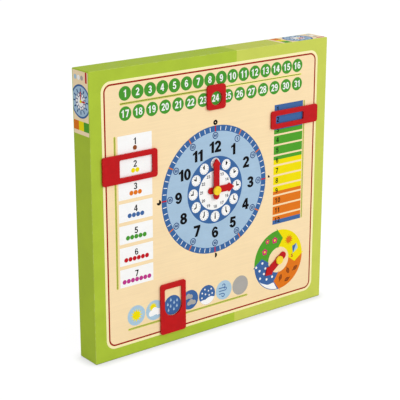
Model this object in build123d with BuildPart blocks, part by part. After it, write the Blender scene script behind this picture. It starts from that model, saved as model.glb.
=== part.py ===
"""Time teaching board: a shallow case with a face board, sliding marker frames and turning hands.

The origin is the centre of the case's underside, the front faces -Y and +Z is up. Sketches lie on
planes parallel to the front, whose depth is counted from the middle of the case towards the front.
"""

import os
from math import cos, radians, sin, tan

from build123d import *

os.makedirs("parts", exist_ok=True)

# Case
CASE_W = 380.0
CASE_H = 372.0
CASE_D = 35.0
CASE_CORNER_R = 1.4
WALL_T = 4.0
RIM_W = 17.0
RIM_H = 15.0
RIM_EDGE_R = 0.8
COVER_T = 3.0
COVER_GAP = 0.3

# Battens and corner blocks inside the case
BATTEN_T = 8.0
BATTEN_LAP = 7.0
BLOCK_W = 22.0
BLOCK_GAP = 0.2

# Rear cover screws
SCREW_D = 3.5
SCREW_HEAD_D = 7.0
SCREW_HEAD_ANGLE = 90.0
SCREW_L = 18.0
SCREW_SUNK = 0.2
RECESS_L = 3.6
RECESS_W = 0.9
RECESS_DEEP = 1.0

# Face board
BOARD_T = 4.0
BOARD_R = 13.0
BOARD_GAP = 0.1
BOARD_EDGE_R = 0.15

# Slots and the pins that run in them
SLOT_W = 1.2
SLOT_END_GAP = 0.5
PIN_D = 1.0
PIN_SEAT = 1.5
PIN_HEAD_D = 3.8
PIN_HEAD_T = 1.0
SEAT_GAP = 0.02
RUN_GAP = 0.06
TIP_GAP = 0.1

# Marker frames in front of the board
FRAME_T = 2.4
FRAME_GAP = 0.4
FRAME_R = 3.4
FRAME_EDGE_R = 0.5
WINDOW_R = 2.0

# Felt pads and keeper plates behind the board
FELT_T = 1.2
FELT_GAP = 0.2
KEEPER_T = 3.0
KEEPER_W = 12.0
KEEPER_END = 5.0
KEEPER_R = 2.0

# Weekday column: seven places, the frame rests on the second
WEEKDAY_COUNT = 7
WEEKDAY_REST = 1
WEEKDAY_PITCH = 28.5
WEEKDAY_ABOVE_MIDDLE = 4.8
WEEKDAY_SLOT_INSET = 17.8
WEEKDAY_PIN_REACH = 10.8
WEEKDAY_WINDOW_W = 49.0
WEEKDAY_WINDOW_H = 22.6
WEEKDAY_GRIP_W = 24.8
WEEKDAY_SLOT_TO_WINDOW = 5.2
WEEKDAY_SIDE = 7.3
WEEKDAY_EDGE = 6.8

# Month column: twelve places, the frame rests on the second
MONTH_COUNT = 12
MONTH_REST = 1
MONTH_PITCH = 14.05
MONTH_ABOVE_MIDDLE = 22.35
MONTH_SLOT_INSET = 22.0
MONTH_PIN_REACH = 4.0
MONTH_WINDOW_W = 49.0
MONTH_WINDOW_H = 11.0
MONTH_GRIP_W = 25.0
MONTH_SLOT_TO_WINDOW = 2.8
MONTH_SIDE = 7.6
MONTH_EDGE = 6.7

# Weather row: seven places, the frame rests on the third
WEATHER_COUNT = 7
WEATHER_REST = 2
WEATHER_PITCH = 28.4
WEATHER_FIRST_INSET = 45.3
WEATHER_SLOT_INSET = 19.7
WEATHER_PIN_REACH = 11.0
WEATHER_WINDOW_W = 27.3
WEATHER_WINDOW_STRAIGHT = 24.6
WEATHER_GRIP_H = 23.5
WEATHER_SLOT_TO_WINDOW = 3.0
WEATHER_SIDE = 6.35
WEATHER_TOP = 7.4

# Date rows: the frame reads the lower row at rest and the upper row when turned half round
DATE_ROW_INSET = 35.0
DATE_ROW_GAP = 24.7
DATE_SLOT_INSET = 29.45
DATE_WINDOW_D = 18.0
DATE_SIDE = 5.9
DATE_BOTTOM = 5.45
DATE_TOP = 5.3
DATE_CORNER_R = 4.5
DATE_LUG_REACH = 6.5
DATE_LUG_WALL = 0.9
DATE_LUG_GAP = 0.2
DATE_LUG_IN = 3.0
DATE_CLIP_D = 4.4
DATE_CLIP_T = 0.8
DATE_PIN_TAIL = 0.8

# Clock and season pivots
CLOCK_LEFT_OF_MIDDLE = 1.0
CLOCK_ABOVE_MIDDLE = 7.8
SEASON_INSET_X = 62.5
SEASON_INSET_Z = 57.5
JOURNAL_D = 5.0
SHANK_D = 6.0
STUB_D = 4.0
STUB_L = 1.3
FLANGE_D = 16.0
FLANGE_T = 2.0
WASHER_D = 12.0
WASHER_T = 0.25
AXIAL_GAP = 0.15
CAP_D = 12.0
CAP_T = 2.0
CAP_EDGE_R = 0.9

# Hands and pointer: reach from the pivot, tail, shaft, head, and the angle clockwise from 12
HAND_T = 1.4
HAND_TAIL = 12.2
HAND_SHAFT_W = 8.8
HAND_HEAD_W = 12.4
HAND_HEAD_L = 8.2
HAND_SHOULDER_L = 2.4
HOUR_REACH = 30.6
HOUR_ANGLE = 90.0
MINUTE_REACH = 43.0
MINUTE_ANGLE = 0.0
POINTER_REACH = 30.0
POINTER_ANGLE = 233.0
POINTER_TAIL = 14.0
POINTER_SHAFT_W = 10.4
POINTER_HEAD_W = 15.0
POINTER_HEAD_L = 9.0
POINTER_SHOULDER_L = 2.8
HAND_CORNER_R = 0.5
HAND_EDGE_R = 0.35

# Places that follow from the sizes above
BOARD_W = CASE_W - 2 * RIM_W
BOARD_H = CASE_H - 2 * RIM_H
CASE_MID = CASE_H / 2
FRONT = CASE_D / 2
BACK = -FRONT
BOARD_BACK = FRONT - BOARD_T
COVER_FRONT = BACK + COVER_T
INNER_W = CASE_W - 2 * WALL_T
INNER_H = CASE_H - 2 * WALL_T

FRAME_BACK = FRONT + FRAME_GAP
FELT_FRONT = BOARD_BACK - FELT_GAP
FELT_BACK = FELT_FRONT - FELT_T
KEEPER_BACK = FELT_BACK - KEEPER_T
PIN_TIP = FRAME_BACK + PIN_SEAT - TIP_GAP

WEEKDAY_SLOT_X = -BOARD_W / 2 + WEEKDAY_SLOT_INSET
WEEKDAY_MID_Z = CASE_MID + WEEKDAY_ABOVE_MIDDLE
WEEKDAY_TRAVEL = (WEEKDAY_COUNT - 1) * WEEKDAY_PITCH
WEEKDAY_REST_Z = WEEKDAY_MID_Z + WEEKDAY_TRAVEL / 2 - WEEKDAY_REST * WEEKDAY_PITCH

MONTH_SLOT_X = BOARD_W / 2 - MONTH_SLOT_INSET
MONTH_MID_Z = CASE_MID + MONTH_ABOVE_MIDDLE
MONTH_TRAVEL = (MONTH_COUNT - 1) * MONTH_PITCH
MONTH_REST_Z = MONTH_MID_Z + MONTH_TRAVEL / 2 - MONTH_REST * MONTH_PITCH

WEATHER_SLOT_Z = RIM_H + WEATHER_SLOT_INSET
WEATHER_FIRST_X = -BOARD_W / 2 + WEATHER_FIRST_INSET
WEATHER_TRAVEL = (WEATHER_COUNT - 1) * WEATHER_PITCH
WEATHER_MID_X = WEATHER_FIRST_X + WEATHER_TRAVEL / 2
WEATHER_REST_X = WEATHER_FIRST_X + WEATHER_REST * WEATHER_PITCH

CLOCK_AT = (-CLOCK_LEFT_OF_MIDDLE, CASE_MID + CLOCK_ABOVE_MIDDLE)
SEASON_AT = (BOARD_W / 2 - SEASON_INSET_X, RIM_H + SEASON_INSET_Z)

DATE_X = CLOCK_AT[0]
DATE_SLOT_Z = CASE_H - RIM_H - DATE_SLOT_INSET
DATE_TRAVEL = BOARD_W - 2 * DATE_ROW_INSET

FIRST_HAND_BACK = FRONT + WASHER_T + AXIAL_GAP
SECOND_WASHER_BACK = FIRST_HAND_BACK + HAND_T + AXIAL_GAP
SECOND_HAND_BACK = SECOND_WASHER_BACK + WASHER_T + AXIAL_GAP
CLOCK_CAP_BACK = SECOND_HAND_BACK + HAND_T + AXIAL_GAP
SEASON_CAP_BACK = FIRST_HAND_BACK + HAND_T + AXIAL_GAP

WEEKDAY_PIN_PLACES = [(WEEKDAY_SLOT_X, WEEKDAY_REST_Z + side * WEEKDAY_PIN_REACH) for side in (-1, 1)]
MONTH_PIN_PLACES = [(MONTH_SLOT_X, MONTH_REST_Z + side * MONTH_PIN_REACH) for side in (-1, 1)]
WEATHER_PIN_PLACES = [(WEATHER_REST_X + side * WEATHER_PIN_REACH, WEATHER_SLOT_Z) for side in (-1, 1)]


def write(piece, label):
    """Label a finished piece and write its STEP file."""
    piece.part.label = label
    export_step(piece.part, f"parts/{label}.step")


def slot_length(travel, reach):
    """Length of a slot whose runner reaches this far each way from its middle."""
    return travel + 2 * (reach + SLOT_END_GAP)


# Front rim with the opening for the face board
with BuildPart() as bezel_frame:
    with BuildSketch(Plane.XZ.offset(BOARD_BACK)):
        with Locations((0, CASE_MID)):
            RectangleRounded(CASE_W, CASE_H, CASE_CORNER_R)
            RectangleRounded(
                BOARD_W + 2 * BOARD_GAP, BOARD_H + 2 * BOARD_GAP, BOARD_R + BOARD_GAP, mode=Mode.SUBTRACT
            )
    extrude(amount=BOARD_T)
    front_face = bezel_frame.faces().sort_by(Axis.Y)[0]
    fillet(front_face.outer_wire().edges(), RIM_EDGE_R)
    front_face = bezel_frame.faces().sort_by(Axis.Y)[0]
    fillet(front_face.inner_wires()[0].edges(), BOARD_EDGE_R)
write(bezel_frame, "bezel_frame")

# Side walls behind the rim, mitred at the corners
outer = {"left": -CASE_W / 2, "right": CASE_W / 2, "bottom": 0.0, "top": CASE_H}
inner = {"left": -INNER_W / 2, "right": INNER_W / 2, "bottom": WALL_T, "top": CASE_H - WALL_T}
for side in ("left", "right", "bottom", "top"):
    if side in ("left", "right"):
        ends = [(outer[side], outer["bottom"]), (outer[side], outer["top"])]
        inner_ends = [(inner[side], inner["top"]), (inner[side], inner["bottom"])]
    else:
        ends = [(outer["left"], outer[side]), (outer["right"], outer[side])]
        inner_ends = [(inner["right"], inner[side]), (inner["left"], inner[side])]
    with BuildPart() as wall:
        with BuildSketch(Plane.XZ.offset(BACK)):
            Polygon(*ends, *inner_ends, align=None)
            with Locations((0, CASE_MID)):
                RectangleRounded(CASE_W, CASE_H, CASE_CORNER_R, mode=Mode.INTERSECT)
        extrude(amount=CASE_D - BOARD_T)
    write(wall, f"{side}_wall")

# Battens that carry the seam of rim and board, between the corner blocks
batten_w = RIM_W - WALL_T + BATTEN_LAP
batten_h = RIM_H - WALL_T + BATTEN_LAP
upright_l = INNER_H - 2 * (BLOCK_W + BLOCK_GAP)
level_l = INNER_W - 2 * (BLOCK_W + BLOCK_GAP)
battens = {
    "left": ((-(INNER_W - batten_w) / 2, CASE_MID), (batten_w, upright_l)),
    "right": (((INNER_W - batten_w) / 2, CASE_MID), (batten_w, upright_l)),
    "bottom": ((0, WALL_T + batten_h / 2), (level_l, batten_h)),
    "top": ((0, CASE_H - WALL_T - batten_h / 2), (level_l, batten_h)),
}
for side, (centre, size) in battens.items():
    with BuildPart() as batten:
        with BuildSketch(Plane.XZ.offset(BOARD_BACK - BATTEN_T)):
            with Locations(centre):
                Rectangle(*size)
        extrude(amount=BATTEN_T)
    write(batten, f"batten_{side}")

# Corner blocks, each bored for one cover screw
block_x = (INNER_W - BLOCK_W) / 2
block_z = {"bottom": WALL_T + BLOCK_W / 2, "top": CASE_H - WALL_T - BLOCK_W / 2}
screw_places = []
for level, z in block_z.items():
    for side, x in (("left", -block_x), ("right", block_x)):
        screw_places.append((x, z))
        with BuildPart() as block:
            with BuildSketch(Plane.XZ.offset(COVER_FRONT)):
                with Locations((x, z)):
                    Rectangle(BLOCK_W, BLOCK_W)
            extrude(amount=BOARD_BACK - COVER_FRONT)
            with BuildSketch(Plane.XZ.offset(COVER_FRONT)):
                with Locations((x, z)):
                    Circle(SCREW_D / 2 + SEAT_GAP)
            extrude(amount=SCREW_L - COVER_T + TIP_GAP, mode=Mode.SUBTRACT)
        write(block, f"corner_block_{level}_{side}")

# Rear cover, let in flush with the walls, and its countersunk screws
rear_seats = [Plane(origin=(x, -BACK, z), z_dir=(0, 1, 0)) for x, z in screw_places]
head_slope = tan(radians(SCREW_HEAD_ANGLE / 2))
head_h = (SCREW_HEAD_D - SCREW_D) / 2 / head_slope
head_r = SCREW_HEAD_D / 2 - SCREW_SUNK * head_slope
from_top = (Align.CENTER, Align.CENTER, Align.MAX)
with BuildPart() as rear_cover:
    with BuildSketch(Plane.XZ.offset(BACK)):
        with Locations((0, CASE_MID)):
            Rectangle(INNER_W - 2 * COVER_GAP, INNER_H - 2 * COVER_GAP)
    extrude(amount=COVER_T)
    with Locations(*rear_seats):
        CounterSinkHole(
            SCREW_D / 2 + SEAT_GAP, SCREW_HEAD_D / 2 + SEAT_GAP, counter_sink_angle=SCREW_HEAD_ANGLE
        )
write(rear_cover, "rear_cover")

with BuildPart() as rear_screws:
    with Locations(*[seat.offset(-SCREW_SUNK) for seat in rear_seats]):
        Cone(SCREW_D / 2, head_r, head_h - SCREW_SUNK, align=from_top)
        Cylinder(SCREW_D / 2, SCREW_L - SCREW_SUNK, align=from_top)
        for turn in (0, 90):
            Box(RECESS_L, RECESS_W, RECESS_DEEP, (0, 0, turn), from_top, Mode.SUBTRACT)
write(rear_screws, "rear_screws")

# Face board with a slot for each slider and a hole for each spindle
with BuildPart() as face_board:
    with BuildSketch(Plane.XZ.offset(BOARD_BACK)):
        with Locations((0, CASE_MID)):
            RectangleRounded(BOARD_W, BOARD_H, BOARD_R)
    extrude(amount=BOARD_T)
    fillet(face_board.faces().sort_by(Axis.Y)[0].edges(), BOARD_EDGE_R)
    with BuildSketch(Plane.XZ.offset(BOARD_BACK)):
        with Locations((WEEKDAY_SLOT_X, WEEKDAY_MID_Z)):
            SlotOverall(slot_length(WEEKDAY_TRAVEL, WEEKDAY_PIN_REACH + PIN_D / 2), SLOT_W, rotation=90)
        with Locations((MONTH_SLOT_X, MONTH_MID_Z)):
            SlotOverall(slot_length(MONTH_TRAVEL, MONTH_PIN_REACH + PIN_D / 2), SLOT_W, rotation=90)
        with Locations((WEATHER_MID_X, WEATHER_SLOT_Z)):
            SlotOverall(slot_length(WEATHER_TRAVEL, WEATHER_PIN_REACH + PIN_D / 2), SLOT_W)
        with Locations((DATE_X, DATE_SLOT_Z)):
            SlotOverall(slot_length(DATE_TRAVEL, DATE_LUG_REACH), SLOT_W)
        with Locations(CLOCK_AT, SEASON_AT):
            Circle(SHANK_D / 2 + SEAT_GAP)
    extrude(amount=BOARD_T, mode=Mode.SUBTRACT)
write(face_board, "face_board")


def pins(label, places):
    """Headed pins through a slot, from the keeper plate into the marker frame."""
    with BuildPart() as group:
        with BuildSketch(Plane.XZ.offset(KEEPER_BACK - PIN_HEAD_T)):
            with Locations(*places):
                Circle(PIN_HEAD_D / 2)
        extrude(amount=PIN_HEAD_T)
        with BuildSketch(Plane.XZ.offset(KEEPER_BACK)):
            with Locations(*places):
                Circle(PIN_D / 2)
        extrude(amount=PIN_TIP - KEEPER_BACK)
    write(group, label)


def backing(label, places, start, thickness):
    """Felt pad or keeper plate behind the board, with a hole for each pin."""
    (x0, z0), (x1, z1) = places
    length = abs(x1 - x0) + abs(z1 - z0) + 2 * KEEPER_END
    size = (length, KEEPER_W) if z0 == z1 else (KEEPER_W, length)
    with BuildPart() as plate:
        with BuildSketch(Plane.XZ.offset(start)):
            with Locations(((x0 + x1) / 2, (z0 + z1) / 2)):
                RectangleRounded(*size, KEEPER_R)
            with Locations(*places):
                Circle(PIN_D / 2 + SEAT_GAP, mode=Mode.SUBTRACT)
        extrude(amount=thickness)
    write(plate, label)


for slider, places in (
    ("weekday", WEEKDAY_PIN_PLACES),
    ("month", MONTH_PIN_PLACES),
    ("weather", WEATHER_PIN_PLACES),
):
    pins(f"{slider}_pins", places)
    backing(f"{slider}_felt", places, FELT_BACK, FELT_T)
    backing(f"{slider}_keeper", places, KEEPER_BACK, KEEPER_T)

# Weekday frame: a grip at the left, over the slot, and a window over one card
weekday_frame_w = WEEKDAY_GRIP_W + WEEKDAY_WINDOW_W + WEEKDAY_SIDE
weekday_window_left = WEEKDAY_SLOT_X + WEEKDAY_SLOT_TO_WINDOW
with BuildPart() as weekday_frame:
    with BuildSketch(Plane.XZ.offset(FRAME_BACK)):
        with Locations((weekday_window_left - WEEKDAY_GRIP_W + weekday_frame_w / 2, WEEKDAY_REST_Z)):
            RectangleRounded(weekday_frame_w, WEEKDAY_WINDOW_H + 2 * WEEKDAY_EDGE, FRAME_R)
        with Locations((weekday_window_left + WEEKDAY_WINDOW_W / 2, WEEKDAY_REST_Z)):
            RectangleRounded(WEEKDAY_WINDOW_W, WEEKDAY_WINDOW_H, WINDOW_R, mode=Mode.SUBTRACT)
    extrude(amount=FRAME_T)
    fillet(weekday_frame.faces().sort_by(Axis.Y)[0].edges(), FRAME_EDGE_R)
    with BuildSketch(Plane.XZ.offset(FRAME_BACK)):
        with Locations(*WEEKDAY_PIN_PLACES):
            Circle(PIN_D / 2 + SEAT_GAP)
    extrude(amount=PIN_SEAT, mode=Mode.SUBTRACT)
write(weekday_frame, "weekday_frame")

# Month frame: the same, with its grip at the right
month_frame_w = MONTH_GRIP_W + MONTH_WINDOW_W + MONTH_SIDE
month_window_right = MONTH_SLOT_X - MONTH_SLOT_TO_WINDOW
with BuildPart() as month_frame:
    with BuildSketch(Plane.XZ.offset(FRAME_BACK)):
        with Locations((month_window_right + MONTH_GRIP_W - month_frame_w / 2, MONTH_REST_Z)):
            RectangleRounded(month_frame_w, MONTH_WINDOW_H + 2 * MONTH_EDGE, FRAME_R)
        with Locations((month_window_right - MONTH_WINDOW_W / 2, MONTH_REST_Z)):
            RectangleRounded(MONTH_WINDOW_W, MONTH_WINDOW_H, WINDOW_R, mode=Mode.SUBTRACT)
    extrude(amount=FRAME_T)
    fillet(month_frame.faces().sort_by(Axis.Y)[0].edges(), FRAME_EDGE_R)
    with BuildSketch(Plane.XZ.offset(FRAME_BACK)):
        with Locations(*MONTH_PIN_PLACES):
            Circle(PIN_D / 2 + SEAT_GAP)
    extrude(amount=PIN_SEAT, mode=Mode.SUBTRACT)
write(month_frame, "month_frame")

# Weather frame: tall, its window square above and round below, the grip at the bottom
weather_r = WEATHER_WINDOW_W / 2
weather_window_bottom = WEATHER_SLOT_Z + WEATHER_SLOT_TO_WINDOW
weather_disc_z = weather_window_bottom + weather_r
weather_window_top = weather_disc_z + WEATHER_WINDOW_STRAIGHT
weather_left = WEATHER_REST_X - weather_r
weather_right = WEATHER_REST_X + weather_r
weather_bottom = weather_window_bottom - WEATHER_GRIP_H
weather_frame_h = weather_window_top + WEATHER_TOP - weather_bottom
with BuildPart() as weather_frame:
    with BuildSketch(Plane.XZ.offset(FRAME_BACK)):
        with Locations((WEATHER_REST_X, weather_bottom + weather_frame_h / 2)):
            RectangleRounded(WEATHER_WINDOW_W + 2 * WEATHER_SIDE, weather_frame_h, FRAME_R)
        with BuildLine():
            FilletPolyline(
                (weather_left, weather_disc_z),
                (weather_left, weather_window_top),
                (weather_right, weather_window_top),
                (weather_right, weather_disc_z),
                radius=WINDOW_R,
            )
            ThreePointArc(
                (weather_right, weather_disc_z),
                (WEATHER_REST_X, weather_window_bottom),
                (weather_left, weather_disc_z),
            )
        make_face(mode=Mode.SUBTRACT)
    extrude(amount=FRAME_T)
    fillet(weather_frame.faces().sort_by(Axis.Y)[0].edges(), FRAME_EDGE_R)
    with BuildSketch(Plane.XZ.offset(FRAME_BACK)):
        with Locations(*WEATHER_PIN_PLACES):
            Circle(PIN_D / 2 + SEAT_GAP)
    extrude(amount=PIN_SEAT, mode=Mode.SUBTRACT)
write(weather_frame, "weather_frame")

# Date frame, hung on one pin, with a round window over one date
date_frame_w = DATE_WINDOW_D + 2 * DATE_SIDE
date_window_z = DATE_SLOT_Z - DATE_ROW_GAP / 2
date_bottom = date_window_z - DATE_WINDOW_D / 2 - DATE_BOTTOM
date_frame_h = DATE_SLOT_Z + DATE_TOP - date_bottom
with BuildPart() as date_frame:
    with BuildSketch(Plane.XZ.offset(FRAME_BACK)):
        with Locations((DATE_X, date_bottom + date_frame_h / 2)):
            RectangleRounded(date_frame_w, date_frame_h, DATE_CORNER_R)
        with Locations((DATE_X, date_window_z)):
            Circle(DATE_WINDOW_D / 2, mode=Mode.SUBTRACT)
    extrude(amount=FRAME_T)
    fillet(date_frame.faces().sort_by(Axis.Y)[0].edges(), FRAME_EDGE_R)
    with BuildSketch(Plane.XZ.offset(FRAME_BACK)):
        with Locations((DATE_X, DATE_SLOT_Z)):
            Circle(PIN_D / 2 + SEAT_GAP)
    extrude(amount=PIN_SEAT, mode=Mode.SUBTRACT)
write(date_frame, "date_frame")

# Date pin and the clip that holds it in its carriage
clip_front = KEEPER_BACK - AXIAL_GAP
with BuildPart() as date_pin:
    with BuildSketch(Plane.XZ.offset(clip_front - DATE_CLIP_T - DATE_PIN_TAIL)):
        with Locations((DATE_X, DATE_SLOT_Z)):
            Circle(PIN_D / 2)
    extrude(amount=PIN_TIP - clip_front + DATE_CLIP_T + DATE_PIN_TAIL)
write(date_pin, "date_pin")

with BuildPart() as date_clip:
    with BuildSketch(Plane.XZ.offset(clip_front - DATE_CLIP_T)):
        with Locations((DATE_X, DATE_SLOT_Z)):
            Circle(DATE_CLIP_D / 2)
            Circle(PIN_D / 2 + SEAT_GAP, mode=Mode.SUBTRACT)
    extrude(amount=DATE_CLIP_T)
write(date_clip, "date_clip")

# Date carriage: a keeper plate with two lugs in the slot, and its felt
pin_bore = PIN_D / 2 + RUN_GAP
lug_inner = pin_bore + DATE_LUG_WALL
lug_l = DATE_LUG_REACH - lug_inner
lug_w = SLOT_W - 2 * DATE_LUG_GAP
carriage_l = 2 * (DATE_LUG_REACH + KEEPER_END)
lug_places = [(DATE_X + side * (lug_inner + lug_l / 2), DATE_SLOT_Z) for side in (-1, 1)]
with BuildPart() as date_keeper:
    with BuildSketch(Plane.XZ.offset(KEEPER_BACK)):
        with Locations((DATE_X, DATE_SLOT_Z)):
            RectangleRounded(carriage_l, KEEPER_W, KEEPER_R)
    extrude(amount=KEEPER_T)
    with BuildSketch(Plane.XZ.offset(FELT_BACK)):
        with Locations(*lug_places):
            Rectangle(lug_l, lug_w)
    extrude(amount=BOARD_BACK + DATE_LUG_IN - FELT_BACK)
    with BuildSketch(Plane.XZ.offset(KEEPER_BACK)):
        with Locations((DATE_X, DATE_SLOT_Z)):
            Circle(pin_bore)
    extrude(amount=KEEPER_T, mode=Mode.SUBTRACT)
write(date_keeper, "date_keeper")

with BuildPart() as date_felt:
    with BuildSketch(Plane.XZ.offset(FELT_BACK)):
        with Locations((DATE_X, DATE_SLOT_Z)):
            RectangleRounded(carriage_l, KEEPER_W, KEEPER_R)
            Rectangle(2 * (DATE_LUG_REACH + DATE_LUG_GAP), SLOT_W, mode=Mode.SUBTRACT)
    extrude(amount=FELT_T)
write(date_felt, "date_felt")


def spindle(label, place, cap_back):
    """Fixed spindle: a flange behind the board, the shank in it, the journal and the cap's stub."""
    steps = (
        (BOARD_BACK - FLANGE_T, BOARD_BACK, FLANGE_D),
        (BOARD_BACK, FRONT, SHANK_D),
        (FRONT, cap_back, JOURNAL_D),
        (cap_back, cap_back + STUB_L, STUB_D),
    )
    with BuildPart() as turned:
        for start, end, diameter in steps:
            with BuildSketch(Plane.XZ.offset(start)):
                with Locations(place):
                    Circle(diameter / 2)
            extrude(amount=end - start)
    write(turned, label)


def washer(label, place, start):
    """Flat washer on a spindle's journal."""
    with BuildPart() as ring:
        with BuildSketch(Plane.XZ.offset(start)):
            with Locations(place):
                Circle(WASHER_D / 2)
                Circle(JOURNAL_D / 2 + RUN_GAP, mode=Mode.SUBTRACT)
        extrude(amount=WASHER_T)
    write(ring, label)


def cap(label, place, start):
    """Round cap pressed on a spindle's stub, with a rounded rim."""
    with BuildPart() as knob:
        with BuildSketch(Plane.XZ.offset(start)):
            with Locations(place):
                Circle(CAP_D / 2)
        extrude(amount=CAP_T)
        fillet(knob.faces().sort_by(Axis.Y)[0].edges(), CAP_EDGE_R)
        with BuildSketch(Plane.XZ.offset(start)):
            with Locations(place):
                Circle(STUB_D / 2 + SEAT_GAP)
        extrude(amount=STUB_L + TIP_GAP, mode=Mode.SUBTRACT)
    write(knob, label)


def arrow(label, place, start, angle, reach, tail, shaft_w, head_w, head_l, shoulder_l):
    """Flat arrow with a rounded tail, turned clockwise from 12 by its angle, bored for the journal."""
    x, z = place
    turn = radians(angle)
    face = Plane(origin=(x, -start, z), x_dir=(cos(turn), 0, -sin(turn)), z_dir=(0, -1, 0))
    half = shaft_w / 2
    barb = reach - head_l
    with BuildPart() as hand:
        with BuildSketch(face):
            with BuildLine():
                Polyline(
                    (-half, half - tail),
                    (-half, barb - shoulder_l),
                    (-head_w / 2, barb),
                    (0, reach),
                    (head_w / 2, barb),
                    (half, barb - shoulder_l),
                    (half, half - tail),
                )
                ThreePointArc((half, half - tail), (0, -tail), (-half, half - tail))
            make_face()
        extrude(amount=HAND_T)
        along = Axis(face.origin, face.y_dir)
        corners = hand.edges().filter_by(Axis.Y)
        fillet(corners.filter_by_position(along, barb - shoulder_l / 2, reach), HAND_CORNER_R)
        fillet(hand.faces().sort_by(Axis.Y)[0].edges(), HAND_EDGE_R)
        with BuildSketch(face):
            Circle(JOURNAL_D / 2 + RUN_GAP)
        extrude(amount=HAND_T, mode=Mode.SUBTRACT)
    write(hand, label)


clock_head = (HAND_SHAFT_W, HAND_HEAD_W, HAND_HEAD_L, HAND_SHOULDER_L)
pointer_head = (POINTER_SHAFT_W, POINTER_HEAD_W, POINTER_HEAD_L, POINTER_SHOULDER_L)

# Clock: the hour hand points to 3 under the minute hand, which points to 12
spindle("clock_spindle", CLOCK_AT, CLOCK_CAP_BACK)
washer("dial_washer", CLOCK_AT, FRONT)
arrow("hour_hand", CLOCK_AT, FIRST_HAND_BACK, HOUR_ANGLE, HOUR_REACH, HAND_TAIL, *clock_head)
washer("hand_washer", CLOCK_AT, SECOND_WASHER_BACK)
arrow("minute_hand", CLOCK_AT, SECOND_HAND_BACK, MINUTE_ANGLE, MINUTE_REACH, HAND_TAIL, *clock_head)
cap("clock_cap", CLOCK_AT, CLOCK_CAP_BACK)

# Season pointer on its own spindle
spindle("season_spindle", SEASON_AT, SEASON_CAP_BACK)
washer("season_washer", SEASON_AT, FRONT)
arrow("season_pointer", SEASON_AT, FIRST_HAND_BACK, POINTER_ANGLE, POINTER_REACH, POINTER_TAIL, *pointer_head)
cap("season_cap", SEASON_AT, SEASON_CAP_BACK)
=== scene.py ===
"""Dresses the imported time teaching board: printed films, lacquer, card and a plain studio.

Sizes are in millimetres, X from the middle of the case, Z from its underside, and turn to metres
where a mesh is written. Angles round a dial are in degrees, clockwise from twelve.
"""

import logging
import math
from collections.abc import Callable
from dataclasses import dataclass
from enum import Enum

import bmesh
import bpy
from mathutils import Matrix, Vector


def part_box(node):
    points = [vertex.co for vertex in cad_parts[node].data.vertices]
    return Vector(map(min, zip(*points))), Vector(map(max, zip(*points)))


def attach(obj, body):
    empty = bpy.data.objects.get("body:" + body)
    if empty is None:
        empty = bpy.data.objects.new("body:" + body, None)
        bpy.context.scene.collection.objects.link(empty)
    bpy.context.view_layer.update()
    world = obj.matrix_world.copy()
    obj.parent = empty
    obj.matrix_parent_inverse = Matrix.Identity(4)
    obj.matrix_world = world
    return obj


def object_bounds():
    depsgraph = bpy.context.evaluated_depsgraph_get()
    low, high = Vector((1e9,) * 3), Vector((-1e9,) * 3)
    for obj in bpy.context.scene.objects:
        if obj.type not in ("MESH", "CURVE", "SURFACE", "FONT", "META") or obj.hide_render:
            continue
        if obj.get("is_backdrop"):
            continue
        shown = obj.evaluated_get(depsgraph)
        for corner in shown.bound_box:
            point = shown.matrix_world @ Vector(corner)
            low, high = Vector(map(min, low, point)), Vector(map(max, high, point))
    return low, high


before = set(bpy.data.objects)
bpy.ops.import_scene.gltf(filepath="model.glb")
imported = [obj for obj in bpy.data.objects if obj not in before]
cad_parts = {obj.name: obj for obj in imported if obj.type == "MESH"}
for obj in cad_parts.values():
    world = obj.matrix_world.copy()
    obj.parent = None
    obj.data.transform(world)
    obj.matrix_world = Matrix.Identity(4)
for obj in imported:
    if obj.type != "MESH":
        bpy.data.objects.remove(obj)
CAD_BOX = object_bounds()

logging.basicConfig(level=logging.INFO, format="%(message)s")
log = logging.getLogger("time_board")

MM = 0.001
HOURS = range(1, 13)
HOUR_TURN = 30.0

Point = tuple[float, float]
Triple = tuple[float, float, float]
Loop = list[Point]
Lay = Callable[[float, float], Point]
Colour = tuple[int, int, int]
Socket = bpy.types.NodeSocket
Input = float | tuple | Socket
Inputs = dict[str | int, Input]


# Outlines

ARC_STEP = 9.0
PIE_STEP = 4.0
LEAST_STEPS = 3
DISC_STEPS = (24, 180)
DISC_STEPS_PER_MM = 5
LOBE_STEPS = 72
MITRE_LIMIT = 0.5
SUN_ARMS = 12


def evenly(start: float, end: float, steps: int) -> list[float]:
    """The values from start to end, in that many equal steps."""
    return [start + (end - start) * k / steps for k in range(steps + 1)]


def sweep(cx: float, cy: float, rx: float, ry: float, start: float, end: float) -> Loop:
    """Follow part of an ellipse.

    Args:
        cx, cy: Its centre.
        rx, ry: Its half axes.
        start, end: Degrees counter-clockwise from the right.

    Returns:
        Points from start to end.
    """
    steps = max(LEAST_STEPS, round(abs(end - start) / ARC_STEP))
    turns = [math.radians(angle) for angle in evenly(start, end, steps)]
    return [(cx + rx * math.cos(t), cy + ry * math.sin(t)) for t in turns]


def disc(cx: float, cy: float, radius: float) -> Loop:
    """A round outline of that centre and radius."""
    steps = max(DISC_STEPS[0], min(DISC_STEPS[1], round(radius * DISC_STEPS_PER_MM)))
    return [(cx + radius * math.cos(t), cy + radius * math.sin(t)) for t in evenly(0.0, math.tau, steps)[:-1]]


def on_oval(centre: Point, reach: Point, angle: float) -> Point:
    """The point of an oval of those half axes, at that clockwise angle."""
    t = math.radians(angle)
    return centre[0] + reach[0] * math.sin(t), centre[1] + reach[1] * math.cos(t)


def on_dial(centre: Point, radius: float, angle: float) -> Point:
    """The point at that radius and clockwise angle."""
    return on_oval(centre, (radius, radius), angle)


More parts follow.
